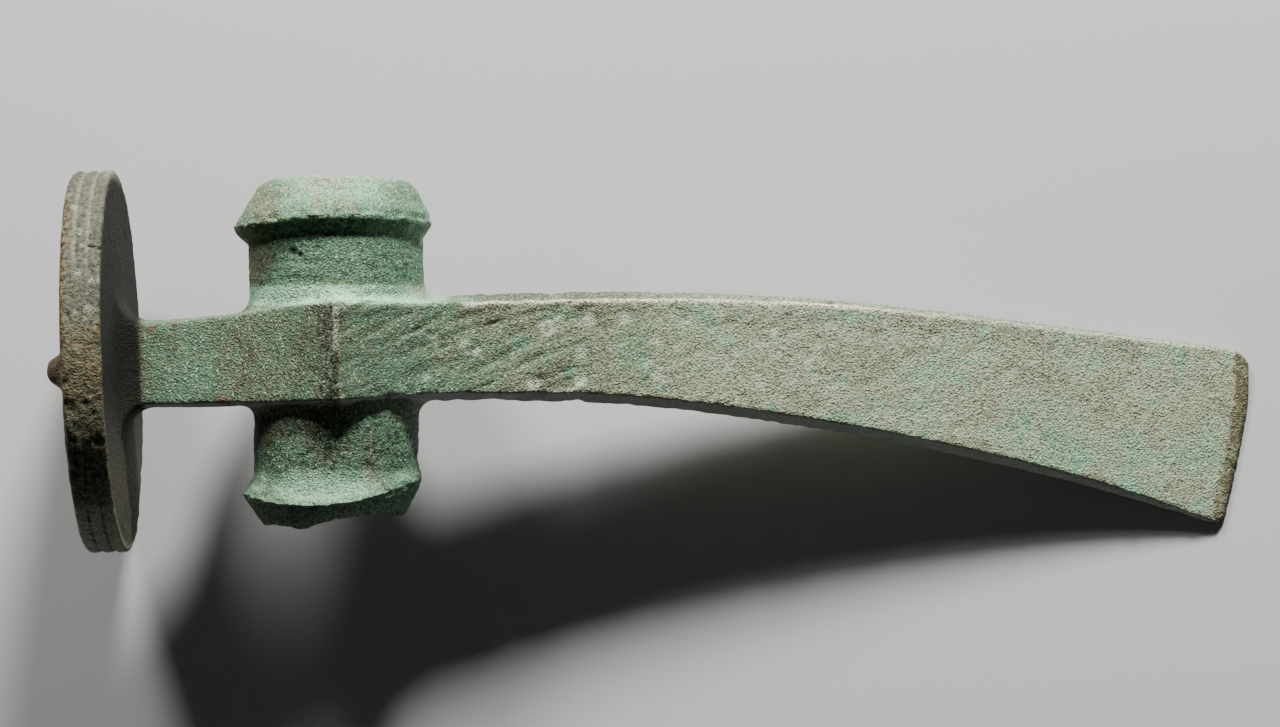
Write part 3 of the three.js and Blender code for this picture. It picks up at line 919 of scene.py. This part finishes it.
def wear_lips(places):
    """Makes the lips ragged, the foot one most"""
    x, y, z = places.T
    places = places.copy()
    ragged = lumps(places, 3.2, 50) * 0.65 + lumps(places, 1.4, 51) * 0.35
    tube = near_tube(places)
    foot = tube * ramp(-y, FOOT_LIP_HEIGHT - 2.5, FOOT_LIP_HEIGHT - 0.3)
    front = ramp(z, -4, 6)
    places[:, 1] -= foot * front * foot_lip_sag(x)
    places[:, 1] += foot * (ragged - 0.5) * FOOT_RAGGED
    top = tube * ramp(y, TOP_LIP_HEIGHT - 2, TOP_LIP_HEIGHT - 0.3)
    worn_round = TOP_LIP_ROUND * (x / TOP_LIP_RADIUS) ** 2
    places[:, 1] -= top * ((ragged - 0.6) * TOP_RAGGED + worn_round)
    return places


# Corrosion all over: the depth, size and seed of each unevenness
UNEVENNESS = [
    (0.14, 9, 1),
    (0.12, 3.5, 2),
    (0.11, 1.5, 3),
    (0.08, 0.9, 4),
]

# Pits all over: depth, more depth on the rim's front, size, share and seed
COMMON_PITS = [
    (0.20, 0.20, 2.6, 0.2, 10),
    (0.14, 0.25, 1.5, 0.4, 20),
]

# Pits on the blade's half towards the tube: size, share and seed
BLADE_PITS = (3.4, 0.3, 60)

# Wrinkles: slope, length, width and seed
ROOT_WRINKLES = (0.38, 5.0, 0.8, 30)
TUBE_WRINKLES = (0.0, 5.0, 0.8, 31)


def corrosion(places, zone):
    """How deep the surface is eaten, in millimetres"""
    x, y, _ = places.T
    rim_front = zone["rim"] * band(y, -30, 22, 6)
    collars = np.maximum(zone["top_collar"], zone["foot_collar"])
    root = band(x, 4, 46, 8) * (1 - zone["tube"])
    far = band(x, 46, 110, 30)
    depth = np.zeros(len(places))
    for deep, size, seed in UNEVENNESS:
        depth += deep * lumps(places, size, seed)
    for deep, rim_deep, size, share, seed in COMMON_PITS:
        depth += (deep + rim_deep * rim_front) * pits(places, size, share, seed)
    depth += 0.22 * rim_front * lumps(places, 2.0, 5)
    depth += 0.25 * collars * lumps(places, 4, 6)
    ragged = 0.5 * lumps(places, 1.6, 8) + 0.4 * pits(places, 1.4, 0.5, 21)
    depth += collars * flange_edges(places) * ragged
    depth += 0.5 * zone["knob"] * lumps(places, 4, 7)
    depth += 0.42 * (root + 0.3 * far) * wrinkles(places, *ROOT_WRINKLES) ** 2
    depth += 0.30 * band(x, 25, 95, 14) * pits(places, *BLADE_PITS)
    depth += 0.22 * zone["tube"] * wrinkles(places, *TUBE_WRINKLES) ** 2
    depth *= 1 - 0.5 * ramp(x - EDGE_SLANT * y, BLADE_REACH - 3, BLADE_REACH)
    for place, radius, deep in DENTS:
        distance = np.linalg.norm(places - place, axis=-1)
        depth += deep * (1 - ramp(distance, 0, radius))
    return depth + CRACK_DEPTH * front_crack(places)


def weather(piece):
    """Bows the cutting edge, then wears and corrodes the skin"""
    mesh = piece.data
    places = soften(places_of(mesh), mesh)
    x, y, _ = places.T
    bow = EDGE_BOW * ramp(x, BLADE_REACH - 40, BLADE_REACH)
    height = np.clip((y - keel(x)) / (crest(x) - keel(x)), 0, 1)
    places[:, 0] += bow * 4 * height * (1 - height)
    places = wear_lips(wear_rim(places))
    set_places(mesh, places)
    depth = corrosion(places, regions(places)) - EVEN_LOSS
    places = places - normals_of(mesh) * depth[:, None]
    set_places(mesh, places)


def thin(piece):
    """Thins the skin where it is flat"""
    select_only(piece)
    count = sum(len(face.vertices) - 2 for face in piece.data.polygons)
    fewer = piece.modifiers.new("thin", "DECIMATE")
    fewer.ratio = min(1, TRIANGLES / count)
    bpy.ops.object.modifier_apply(modifier=fewer.name)


# From the upright casting to where it lies in the frame, in metres
LAID = (
    Matrix.Translation(Vector(HOLE_MIDDLE) * MM)
    @ Matrix.Rotation(NOSE_DOWN, 4, "Y")
    @ Matrix.Rotation(SIDE_ROLL, 4, "X")
)


def lay_down(piece):
    """Lays the casting in the frame, in metres, flat on the floor where it is worn"""
    piece.matrix_world = LAID @ Matrix.Scale(MM, 4)
    select_only(piece)
    bpy.ops.object.transform_apply()
    low, high = (np.array(corner) for corner in cad_box)
    set_places(piece.data, np.clip(places_of(piece.data), low, high))


# Stretches along the axe with a patina of their own, and the collars' middle with a painted
# highlight: start, end and fade
NECK_STRETCH = (-37, -25, 12)
BODY_STRETCH = (-14, -1, 10)
COLLAR_HIGHLIGHT_STRETCH = (-5, 6, 7)
ROOT_STRETCH = (4, 26, 6)
DIMPLED_STRETCH = (22, 100, 14)
BROWN_CREST_STRETCH = (30, 150, 12)

# Round stains: place as seen from the front, then the radii where each is full and
# where it ends
RED_STAINS = [
    ((-34.4, 4.5), 0.5, 1.3),
    ((-20.5, -9.8), 0.8, 2.0),
    ((5.0, 27.0), 0.3, 0.9),
    ((17.3, 11.6), 1.0, 3.0),
]
BROWN_STAIN = ((94.5, 9.0), 0.6, 1.8)
BARE_RIM_SPOT = ((-42.0, 34.4), 1.0, 2.4)


def stain(x, y, place, full, end):
    """1 in a round stain, fading to 0 at its end"""
    return 1 - ramp(np.hypot(x - place[0], y - place[1]), full, end)


def set_mask(mesh, name, values):
    """Keeps one number for each corner, for the material to read"""
    mask = mesh.attributes.new(name, "FLOAT", "POINT")
    mask.data.foreach_set("value", np.clip(values, 0, 1).astype(np.float32))


def survey(mesh):
    """What the patina follows at each corner: its place, zones and slope, and a slow drift"""
    places = places_of(mesh)
    x, y, z = places.T
    along, _ = disc_frame(places)
    facing = normals_of(mesh)[:, 1]
    zone = regions(places)
    off_tube = 1 - zone["tube"]
    drift = lumps(places, 7, 70) - 0.5 + 0.6 * (lumps(places, 2.5, 71) - 0.5)
    around = 1 - ramp(np.hypot(x - TUBE_SHIFT, z), 19, 23)
    return SimpleNamespace(
        places=places,
        x=x,
        y=y,
        along=along,
        zone=zone,
        off_tube=off_tube,
        drift=drift,
        front=ramp(z, 0, 2),
        # Faces turned up on the blade, which are given painted shade
        upward=ramp(facing, 0.6, 0.9) * zone["blade"],
        # Faces turned down, painted an even light grey as reflected light from below
        under=ramp(-facing, 0.6, 0.85) * off_tube * (1 - zone["disc"]),
        collars=np.maximum(zone["top_collar"], zone["foot_collar"]),
        fillet=band(y, BODY_TOP - 0.6, BODY_TOP + 2.2, 0.8) * around,
        neck=band(x + 10 * drift, *NECK_STRETCH) * off_tube,
        body=band(x + 10 * drift, *BODY_STRETCH) * off_tube,
        root=band(x + 8 * drift, *ROOT_STRETCH) * off_tube,
        # The collars' front middle, which is given a painted highlight
        middle=band(x, *COLLAR_HIGHLIGHT_STRETCH),
        inner=band(along, -3.6, 1.0, 1.6) * (1 - zone["rim"]),
        outer=ramp(along, DISC_THICKNESS - 0.8, DISC_THICKNESS - 0.3) * (1 - zone["knob"]),
        rim_middle=zone["rim"] * band(y + 14 * drift, -18, 2, 9),
    )


def mint_mask(at):
    """Most on the tube and its fillet, patchy on the neck, body and root, in flecks beyond"""
    small = ramp(pits(at.places, 3.0, 0.30, 62), 0.05, 0.5)
    small = small + 0.5 * ramp(pits(at.places, 1.8, 0.3, 66), 0.1, 0.5)
    flecks = 0.12 + 0.12 * ramp(at.x, 60, 110) + 0.5 * small + 0.4 * at.drift
    mint = np.maximum.reduce([
        at.zone["tube"] * (0.67 + 0.014 * at.x),
        0.6 * at.neck,
        0.5 * at.root,
        0.4 * at.body,
        band(at.x, BLADE_ROOT, BLADE_REACH, 6) * flecks,
    ])
    mint = np.maximum(mint + 1.2 * at.drift * at.zone["tube"], at.fillet) * (1 - at.zone["disc"])
    return np.maximum(mint, at.outer * (0.35 + at.drift))


def pale_and_lit_mask(at):
    """Pale crust on the fillet, in dimples, out along the blade and on the rim; a painted highlight
    down the collars' middles and along the arris, and painted reflected light at the rim's bottom
    """
    x, y, zone = at.x, at.y, at.zone
    above, below = above_flange(at.places), below_flange(at.places)
    middle = ramp(at.middle + 2 * at.drift, 0, 1)
    dimples = band(x, *DIMPLED_STRETCH) * ramp(pits(at.places, *BLADE_PITS), 0.15, 0.42)
    return np.maximum.reduce([
        at.fillet,
        # Painted highlight down the collars' front middle
        0.5 * zone["top_collar"] * ramp(above, 1.5, 5) * middle,
        0.5 * zone["foot_collar"] * ramp(-below, 0.3, 1.5) * middle,
        # Painted highlight along the arris's upper part
        0.5 * band(x, ARRIS_PLACE - 0.3, ARRIS_PLACE + 0.4, 0.4) * at.off_tube * ramp(y, -6, 4),
        0.3 * rim_grooves(at.places) * ramp(y, 12, 20),
        dimples * (1 - 0.85 * at.upward),
        0.45 * ramp(x, 40, 90) * at.off_tube,
        # Painted reflected light on the rim's bottom, which faces down
        0.55 * zone["rim"] * ramp(-y, 27.5, 30.5),
        0.5 * zone["rim"] * band(y, 8, 26, 6) * ramp(pits(at.places, 1.5, 0.4, 23), 0.1, 0.4),
    ])


def earth_mask(at):
    """Brown soil along the arris and the cutting edge, on the rim and on the knob"""
    x, y, zone = at.x, at.y, at.zone
    arris = band(x, ARRIS_PLACE - 0.1, ARRIS_PLACE + 0.7, 0.5) * at.off_tube * ramp(-y, -6, 2)
    towards_edge = x - EDGE_SLANT * y + 2.5 * at.drift + 1.5 * ramp(y, -16, -4)
    return np.maximum.reduce([
        arris * (0.55 + at.drift),
        0.8 * ramp(towards_edge, BLADE_REACH - 3.0, BLADE_REACH - 1.2),
        0.9 * zone["rim"] * ramp(at.along, 5.6, 7.0) * band(y, -12, 26, 6),
        0.65 * at.rim_middle,
        0.9 * zone["knob"],
        0.9 * at.front * stain(x, y, *BROWN_STAIN),
    ])


def shade_and_soot_mask(at):
    """Black dirt in the crack, pitted flange edges, the rim's low grooves, wrinkles and dents;
    darker on the body, low on the arris and in the hole; painted shade by the arris, under the
    flanges, on the tube, high on the inner face, low on the rim and on faces turned up
    """
    x, y, zone = at.x, at.y, at.zone
    above, below = above_flange(at.places), below_flange(at.places)
    # Painted shade in a band on the neck's side of the arris, where the body turns away from the
    # light
    arris_shade = ramp(x, ARRIS_PLACE - 8.0, ARRIS_PLACE - 1.2) * at.off_tube
    arris_shade *= 1 - ramp(x, ARRIS_PLACE - 0.6, ARRIS_PLACE)
    arris_foot = band(x, ARRIS_PLACE - 0.8, ARRIS_PLACE + 0.3, 0.5) * at.off_tube * ramp(-y, -3, 2)
    dirt_and_shade = [
        ramp(front_crack(at.places), 0.2, 0.7),
        0.25 * at.body,
        0.62 * arris_shade,
        0.85 * arris_foot,
        # Darker on the tube, most below the body: partly its crust, partly painted shade where the
        # body's shadow falls
        (0.5 - 0.15 * ramp(y, 0, 12)) * zone["tube"] * (1 - at.collars) * (1 - at.fillet),
        0.5 * at.collars * flange_edges(at.places) * lumps(at.places, 1.6, 8),
        # Painted shadow under the top flange, less towards the blade
        0.6 * zone["top_collar"] * ramp(-above, 0.3, 1.2) * (1 - 0.7 * ramp(x, 2, 13)),
        # Painted shade on the foot collar below its flange, which faces down away from the light
        0.45 * zone["foot_collar"] * ramp(below, 0.3, 1.2),
        # Painted shade on the blade's faces turned up towards the light
        0.42 * at.upward * (1 - at.fillet),
        0.1 * zone["rim"],
        # Painted shade high on the disc's inner face
        0.35 * at.inner * ramp(y, -5, 15),
        0.9 * rim_grooves(at.places) * ramp(-y, 22, 28),
        # Painted shade low on the rim, where it turns down away from the light
        0.55 * zone["rim"] * band(y, -24, -17, 6),
        0.55 * zone["hole"],
        0.22 * band(x, 3, 46, 8) * at.off_tube * wrinkles(at.places, *ROOT_WRINKLES),
    ]
    for place, radius, _ in DENTS:
        distance = np.linalg.norm(at.places - place, axis=-1)
        dirt_and_shade.append(0.8 * (1 - ramp(distance, 0.3 * radius, radius)))
    return np.maximum.reduce(dirt_and_shade)


def grey_mask(at):
    """The disc but for its knob, its brown places and one bare spot"""
    grey = np.maximum(at.zone["disc"] * (1 - at.zone["knob"]), at.inner)
    grey *= 1 - stain(at.x, at.y, *BARE_RIM_SPOT)
    return grey * (1 - 0.3 * at.outer * ramp(0.5 + 1.5 * at.drift, 0, 1) - 0.35 * at.rim_middle)


def painted_shade_mask(at):
    """Painted shade: darker towards the butt, on the body by the arris, low on the tube, on the
    disc's inner face and on faces turned up; less down the collars' middles, none on the fillet
    """
    x, y = at.x, at.y
    butt = 0.8 * (1 - ramp(x, 16, 85)) + 0.25 * band(x, -1, 12, 10) * at.off_tube
    butt += 0.25 * at.zone["tube"] * ramp(-y, 8, 12)
    # Less painted shade down the collars' front middle than at their sides
    brighter = 0.1 + 0.55 * at.middle - 0.3 * lumps(at.places, 5, 72)
    butt *= (1 - brighter * at.collars) * (1 - at.fillet)
    return np.maximum.reduce([butt, 1.5 * at.upward, at.inner])


def brownish_mask(at):
    """A brown tinge below the blade's crest, along its foot and a little on the body"""
    crest_tinge = band(crest(at.x) - at.y, 0.8, 3.6, 2.5) * band(at.x, *BROWN_CREST_STRETCH)
    foot_tinge = ramp(keel(at.x) + 4 - at.y, 0, 4) * at.zone["blade"]
    return np.maximum(0.1 * at.body, crest_tinge) + 0.3 * foot_tinge


def colour_masks(piece):
    """Gives each corner its share of every colour of the patina and of the painted light and shade
    """
    at = survey(piece.data)
    red = np.maximum.reduce([stain(at.x, at.y, *red_stain) for red_stain in RED_STAINS])
    masks = {
        "mint": mint_mask(at),
        "pale_and_lit": pale_and_lit_mask(at),
        "earth": earth_mask(at),
        "soot_and_shade": shade_and_soot_mask(at),
        "grey": grey_mask(at),
        "red": np.maximum(0.6 * red * at.front, 0.35 * at.zone["knob"]),
        "worn": worn_lit_crease(at.places),
        "painted_shade": painted_shade_mask(at),
        # The disc's inner face, near black high up and less so lower: partly its dark crust, partly
        # painted shade
        "inner": at.inner * (1 - 0.75 * ramp(-at.y, 4, 26)),
        "under": at.under,
        "brownish": brownish_mask(at),
    }
    for name, values in masks.items():
        set_mask(piece.data, name, values)


# Building material nodes
def node(tree, kind, inputs=None, **settings):
    """Adds a node, sets its fields and feeds its inputs with values or sockets"""
    made = tree.nodes.new("ShaderNode" + kind)
    for field, value in settings.items():
        setattr(made, field, value)
    for socket, value in (inputs or {}).items():
        if isinstance(value, bpy.types.NodeSocket):
            tree.links.new(value, made.inputs[socket])
        else:
            made.inputs[socket].default_value = value
    return made


def blend(tree, share, a, b):
    """Mixes two colours"""
    mix = node(tree, "Mix", {0: share, 6: a, 7: b}, data_type="RGBA")
    return mix.outputs[2]


def maths(tree, operation, a, b=0.0):
    return node(tree, "Math", {0: a, 1: b}, operation=operation).outputs[0]


def times(tree, a, b):
    return maths(tree, "MULTIPLY", a, b)


def plus(tree, value, more, weight):
    """Adds a weighted value to another"""
    return maths(tree, "ADD", value, times(tree, more, weight))


def stretch(tree, value, low, high, to_low=0.0, to_high=1.0):
    """Spreads the values between two limits smoothly over a new range"""
    inputs = {"Value": value, "From Min": low, "From Max": high}
    inputs.update({"To Min": to_low, "To Max": to_high})
    return node(tree, "MapRange", inputs, interpolation_type="SMOOTHSTEP").outputs[0]


def speckle(tree, place, size, detail, seed):
    """Noise whose features are about a size in millimetres"""
    inputs = {"Vector": place, "Scale": 1 / size, "Detail": detail, "W": seed}
    return node(tree, "TexNoise", inputs, noise_dimensions="4D").outputs["Fac"]


def mask(tree, name):
    return node(tree, "Attribute", attribute_name=name).outputs["Fac"]


# Patina colours, and the colours of painted shade, painted reflected light and painted highlight
STONE_GREEN = (0.120, 0.150, 0.085, 1)
PALE_BEIGE = (0.42, 0.465, 0.265, 1)
BROWN_STONE = (0.175, 0.145, 0.080, 1)
MINT = (0.070, 0.165, 0.090, 1)
PALE_MINT = (0.27, 0.47, 0.305, 1)
BRIGHT_MINT = (0.46, 0.78, 0.52, 1)
BRIGHT_STONE = (0.60, 0.64, 0.46, 1)
DARK_GREY = (0.040, 0.042, 0.028, 1)
PALE_GREY = (0.130, 0.120, 0.082, 1)
INNER_SHADE_GREY = (0.012, 0.013, 0.009, 1)
EARTH = (0.048, 0.034, 0.013, 1)
OCHRE = (0.180, 0.138, 0.062, 1)
REFLECTED_LIGHT_GREY = (0.36, 0.36, 0.35, 1)
SOOT_AND_SHADE = (0.010, 0.011, 0.007, 1)
RUST_RED = (0.19, 0.055, 0.035, 1)
WORN_HIGHLIGHT = (0.86, 0.72, 0.56, 1)

# Noises of the patina: size in millimetres, detail and seed
NOISES = {
    "grain": (0.36, 2, 1),
    "tint": (0.9, 3, 5),
    "blotch": (3.0, 4, 2),
    "cloud": (14.0, 3, 3),
    "spots": (0.8, 3, 4),
    "glint": (0.5, 1, 7),
}

# The finish of the whole crust
GRAIN_DEPTH = 0.45 * MM
SPOTS_IN_GRAIN = 0.4
ROUGH_LOW_GRAIN = 0.80
ROUGH_HIGH_GRAIN = 0.55
ROUGHER_INNER = 0.2
METALLIC = 0.05
SPECULAR = 0.25


def crust(tree, noise, drift):
    """The stone-coloured and mint crust with painted shade, mostly towards the butt, and how mint it
    is
    """
    light = stretch(tree, noise["grain"], 0.30, 0.70)
    stone = blend(tree, light, STONE_GREEN, PALE_BEIGE)
    brown = maths(tree, "SUBTRACT", times(tree, noise["tint"], 0.6), times(tree, drift, 0.9))
    brown = maths(tree, "ADD", brown, 0.2)
    brown = plus(tree, brown, mask(tree, "brownish"), 0.16)
    brown = stretch(tree, brown, 0.46, 0.80, 0.0, 0.7)
    stone = blend(tree, brown, stone, blend(tree, light, DARK_GREY, BROWN_STONE))
    verdigris = blend(tree, light, MINT, PALE_MINT)
    mint = plus(tree, mask(tree, "mint"), drift, 1.3)
    mint = maths(tree, "ADD", mint, stretch(tree, noise["tint"], 0.35, 0.65, -0.14, 0.14))
    mint = stretch(tree, mint, 0.05, 0.95)
    colour = blend(tree, mint, stone, verdigris)
    # A darker copy of the crust, mixed in as painted shade
    shaded = blend(tree, light, DARK_GREY, STONE_GREEN)
    shaded = blend(tree, times(tree, mint, 0.7), shaded, MINT)
    return blend(tree, times(tree, mask(tree, "painted_shade"), 0.80), colour, shaded), mint


def grey_skin(tree, noise, colour):
    """Painted reflected light on the faces turned down, as an even light grey, and the smooth grey
    of the disc, its inner face painted near black: partly dark crust, partly painted shade
    """
    # Painted reflected light on the faces turned down
    colour = blend(tree, mask(tree, "under"), colour, REFLECTED_LIGHT_GREY)
    grey = blend(tree, stretch(tree, noise["spots"], 0.30, 0.70), DARK_GREY, PALE_GREY)
    grey = blend(tree, mask(tree, "inner"), grey, INNER_SHADE_GREY)
    return blend(tree, mask(tree, "grey"), colour, grey)


def pale_grains(tree, noise, mint, colour):
    """Pale grains of powdery crust, of painted highlight and of painted reflected light, and
    scattered painted glints off the disc
    """
    bright = blend(tree, mint, BRIGHT_STONE, BRIGHT_MINT)
    pale_and_lit = times(tree, mask(tree, "pale_and_lit"), stretch(tree, noise["grain"], 0.25, 0.60))
    colour = blend(tree, times(tree, pale_and_lit, 0.75), colour, bright)
    # Painted glints: tiny bright specks everywhere but on the disc
    glints = times(tree, stretch(tree, noise["glint"], 0.60, 0.69), 0.7)
    glints = times(tree, glints, maths(tree, "SUBTRACT", 1.0, mask(tree, "grey")))
    return blend(tree, glints, colour, bright)


def dirt_and_shade(tree, noise, drift, colour):
    """Brown soil, rust stains, black dirt with painted shade, and the crease worn bright with a
    painted highlight
    """
    soil = blend(tree, stretch(tree, noise["spots"], 0.38, 0.64), EARTH, OCHRE)
    earth = plus(tree, mask(tree, "earth"), drift, 1.2)
    earth = maths(tree, "ADD", earth, stretch(tree, noise["tint"], 0.35, 0.65, -0.2, 0.2))
    earth = times(tree, stretch(tree, earth, 0.25, 0.85), 0.85)
    colour = blend(tree, earth, colour, soil)
    red = times(tree, mask(tree, "red"), stretch(tree, noise["spots"], 0.40, 0.52))
    colour = blend(tree, red, colour, RUST_RED)
    # Black dirt together with painted shade, from the mask and from dark specks
    soot_and_shade = stretch(tree, noise["spots"], 0.60, 0.28, -0.3, 0.35)
    soot_and_shade = maths(tree, "ADD", mask(tree, "soot_and_shade"), soot_and_shade)
    colour = blend(tree, stretch(tree, soot_and_shade, 0.15, 1.0), colour, SOOT_AND_SHADE)
    # The crease worn bare, with a painted highlight
    worn = times(tree, mask(tree, "worn"), stretch(tree, noise["grain"], 0.35, 0.60))
    return blend(tree, worn, colour, WORN_HIGHLIGHT)


def patinated_bronze():
    """The patina with its painted light and shade, drawn in the casting's own upright frame in
    millimetres
    """
    material = bpy.data.materials.new("patinated_bronze")
    material.use_nodes = True
    tree = material.node_tree
    tree.nodes.clear()
    coords = node(tree, "TexCoord").outputs["Object"]
    inverse = LAID.inverted()
    mapping = node(tree, "Mapping", {
        "Vector": coords,
        "Location": tuple(inverse.translation / MM),
        "Rotation": tuple(inverse.to_euler()),
        "Scale": (1 / MM, 1 / MM, 1 / MM),
    })
    noise = {name: speckle(tree, mapping.outputs[0], *made) for name, made in NOISES.items()}
    drift = maths(tree, "ADD", noise["blotch"], noise["cloud"])
    drift = maths(tree, "SUBTRACT", drift, 1.0)
    colour, mint = crust(tree, noise, drift)
    colour = grey_skin(tree, noise, colour)
    colour = pale_grains(tree, noise, mint, colour)
    colour = dirt_and_shade(tree, noise, drift, colour)

    height = plus(tree, noise["grain"], noise["spots"], SPOTS_IN_GRAIN)
    bump = node(tree, "Bump", {"Height": height, "Strength": 1.0, "Distance": GRAIN_DEPTH})
    rough = stretch(tree, noise["grain"], 0.3, 0.7, ROUGH_LOW_GRAIN, ROUGH_HIGH_GRAIN)
    shader = node(tree, "BsdfPrincipled", {
        "Base Color": colour,
        "Roughness": plus(tree, rough, mask(tree, "inner"), ROUGHER_INNER),
        "Metallic": METALLIC,
        "Specular IOR Level": SPECULAR,
        "Normal": bump.outputs[0],
    })
    out = node(tree, "OutputMaterial")
    tree.links.new(shader.outputs[0], out.inputs[0])
    return material


# The floor and the studio's air
FLOOR_SIZE = 6
FLOOR_COLOUR = (0.55, 0.55, 0.54, 1)
FLOOR_ROUGHNESS = 0.9
STUDIO_COLOUR = (0.95, 0.97, 1.0, 1)
STUDIO_STRENGTH = 0.035

# The lights: name, direction from the axe, size in metres and power in watts
LIGHTS = [
    ("key_light", (0.07, 0.90, 0.43), 0.18, 24),
    ("butt_light", (-0.40, 0.84, 0.38), 0.25, 9),
]
LIT_PLACE = (80, 0, 0)
LIGHT_DISTANCE = 1000

# The camera: its place in the upright frame, square to the front, and its lens
CAMERA_PLACE = (58.38, -2.39, 915)
CAMERA_LENS = 134.45
SENSOR_WIDTH = 36
VIEW_END = 20


def lay_floor():
    bpy.ops.object.select_all(action="DESELECT")
    bpy.ops.mesh.primitive_plane_add(size=FLOOR_SIZE)
    floor = bpy.context.object
    floor.name = "floor"
    paint = bpy.data.materials.new("floor_paint")
    paint.use_nodes = True
    shader = paint.node_tree.nodes["Principled BSDF"]
    shader.inputs["Base Color"].default_value = FLOOR_COLOUR
    shader.inputs["Roughness"].default_value = FLOOR_ROUGHNESS
    floor.data.materials.append(paint)


def light_studio():
    """Faint light from all round and two soft lights from above the tube"""
    world = bpy.data.worlds.new("studio")
    world.use_nodes = True
    air = world.node_tree.nodes["Background"]
    air.inputs["Color"].default_value = STUDIO_COLOUR
    air.inputs["Strength"].default_value = STUDIO_STRENGTH
    bpy.context.scene.world = world
    for name, towards, size, power in LIGHTS:
        towards = Vector(towards).normalized()
        bpy.ops.object.light_add(type="AREA")
        light = bpy.context.object
        light.name = name
        light.data.shape = "DISK"
        light.data.size = size
        light.data.energy = power
        light.location = LAID @ ((Vector(LIT_PLACE) + towards * LIGHT_DISTANCE) * MM)
        turned = (LAID.to_3x3() @ towards).to_track_quat("Z", "Y")
        light.rotation_euler = turned.to_euler()


def place_camera():
    bpy.ops.object.camera_add()
    camera = bpy.context.object
    camera.name = "camera"
    camera.data.sensor_width = SENSOR_WIDTH
    camera.data.lens = CAMERA_LENS
    camera.data.clip_end = VIEW_END
    eye = LAID @ (Vector(CAMERA_PLACE) * MM)
    camera.matrix_world = Matrix.Translation(eye) @ LAID.to_3x3().to_4x4()
    bpy.context.scene.camera = camera


# The casting in its place, and the studio round it
casting = model_casting()
casting.name = "cast_axe_head"
weather(casting)
thin(casting)
colour_masks(casting)
lay_down(casting)
select_only(casting)
bpy.ops.object.shade_smooth()
casting.data.materials.clear()
casting.data.materials.append(patinated_bronze())
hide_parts("axe_head")
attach(casting, "root")
lay_floor()
light_studio()
place_camera()
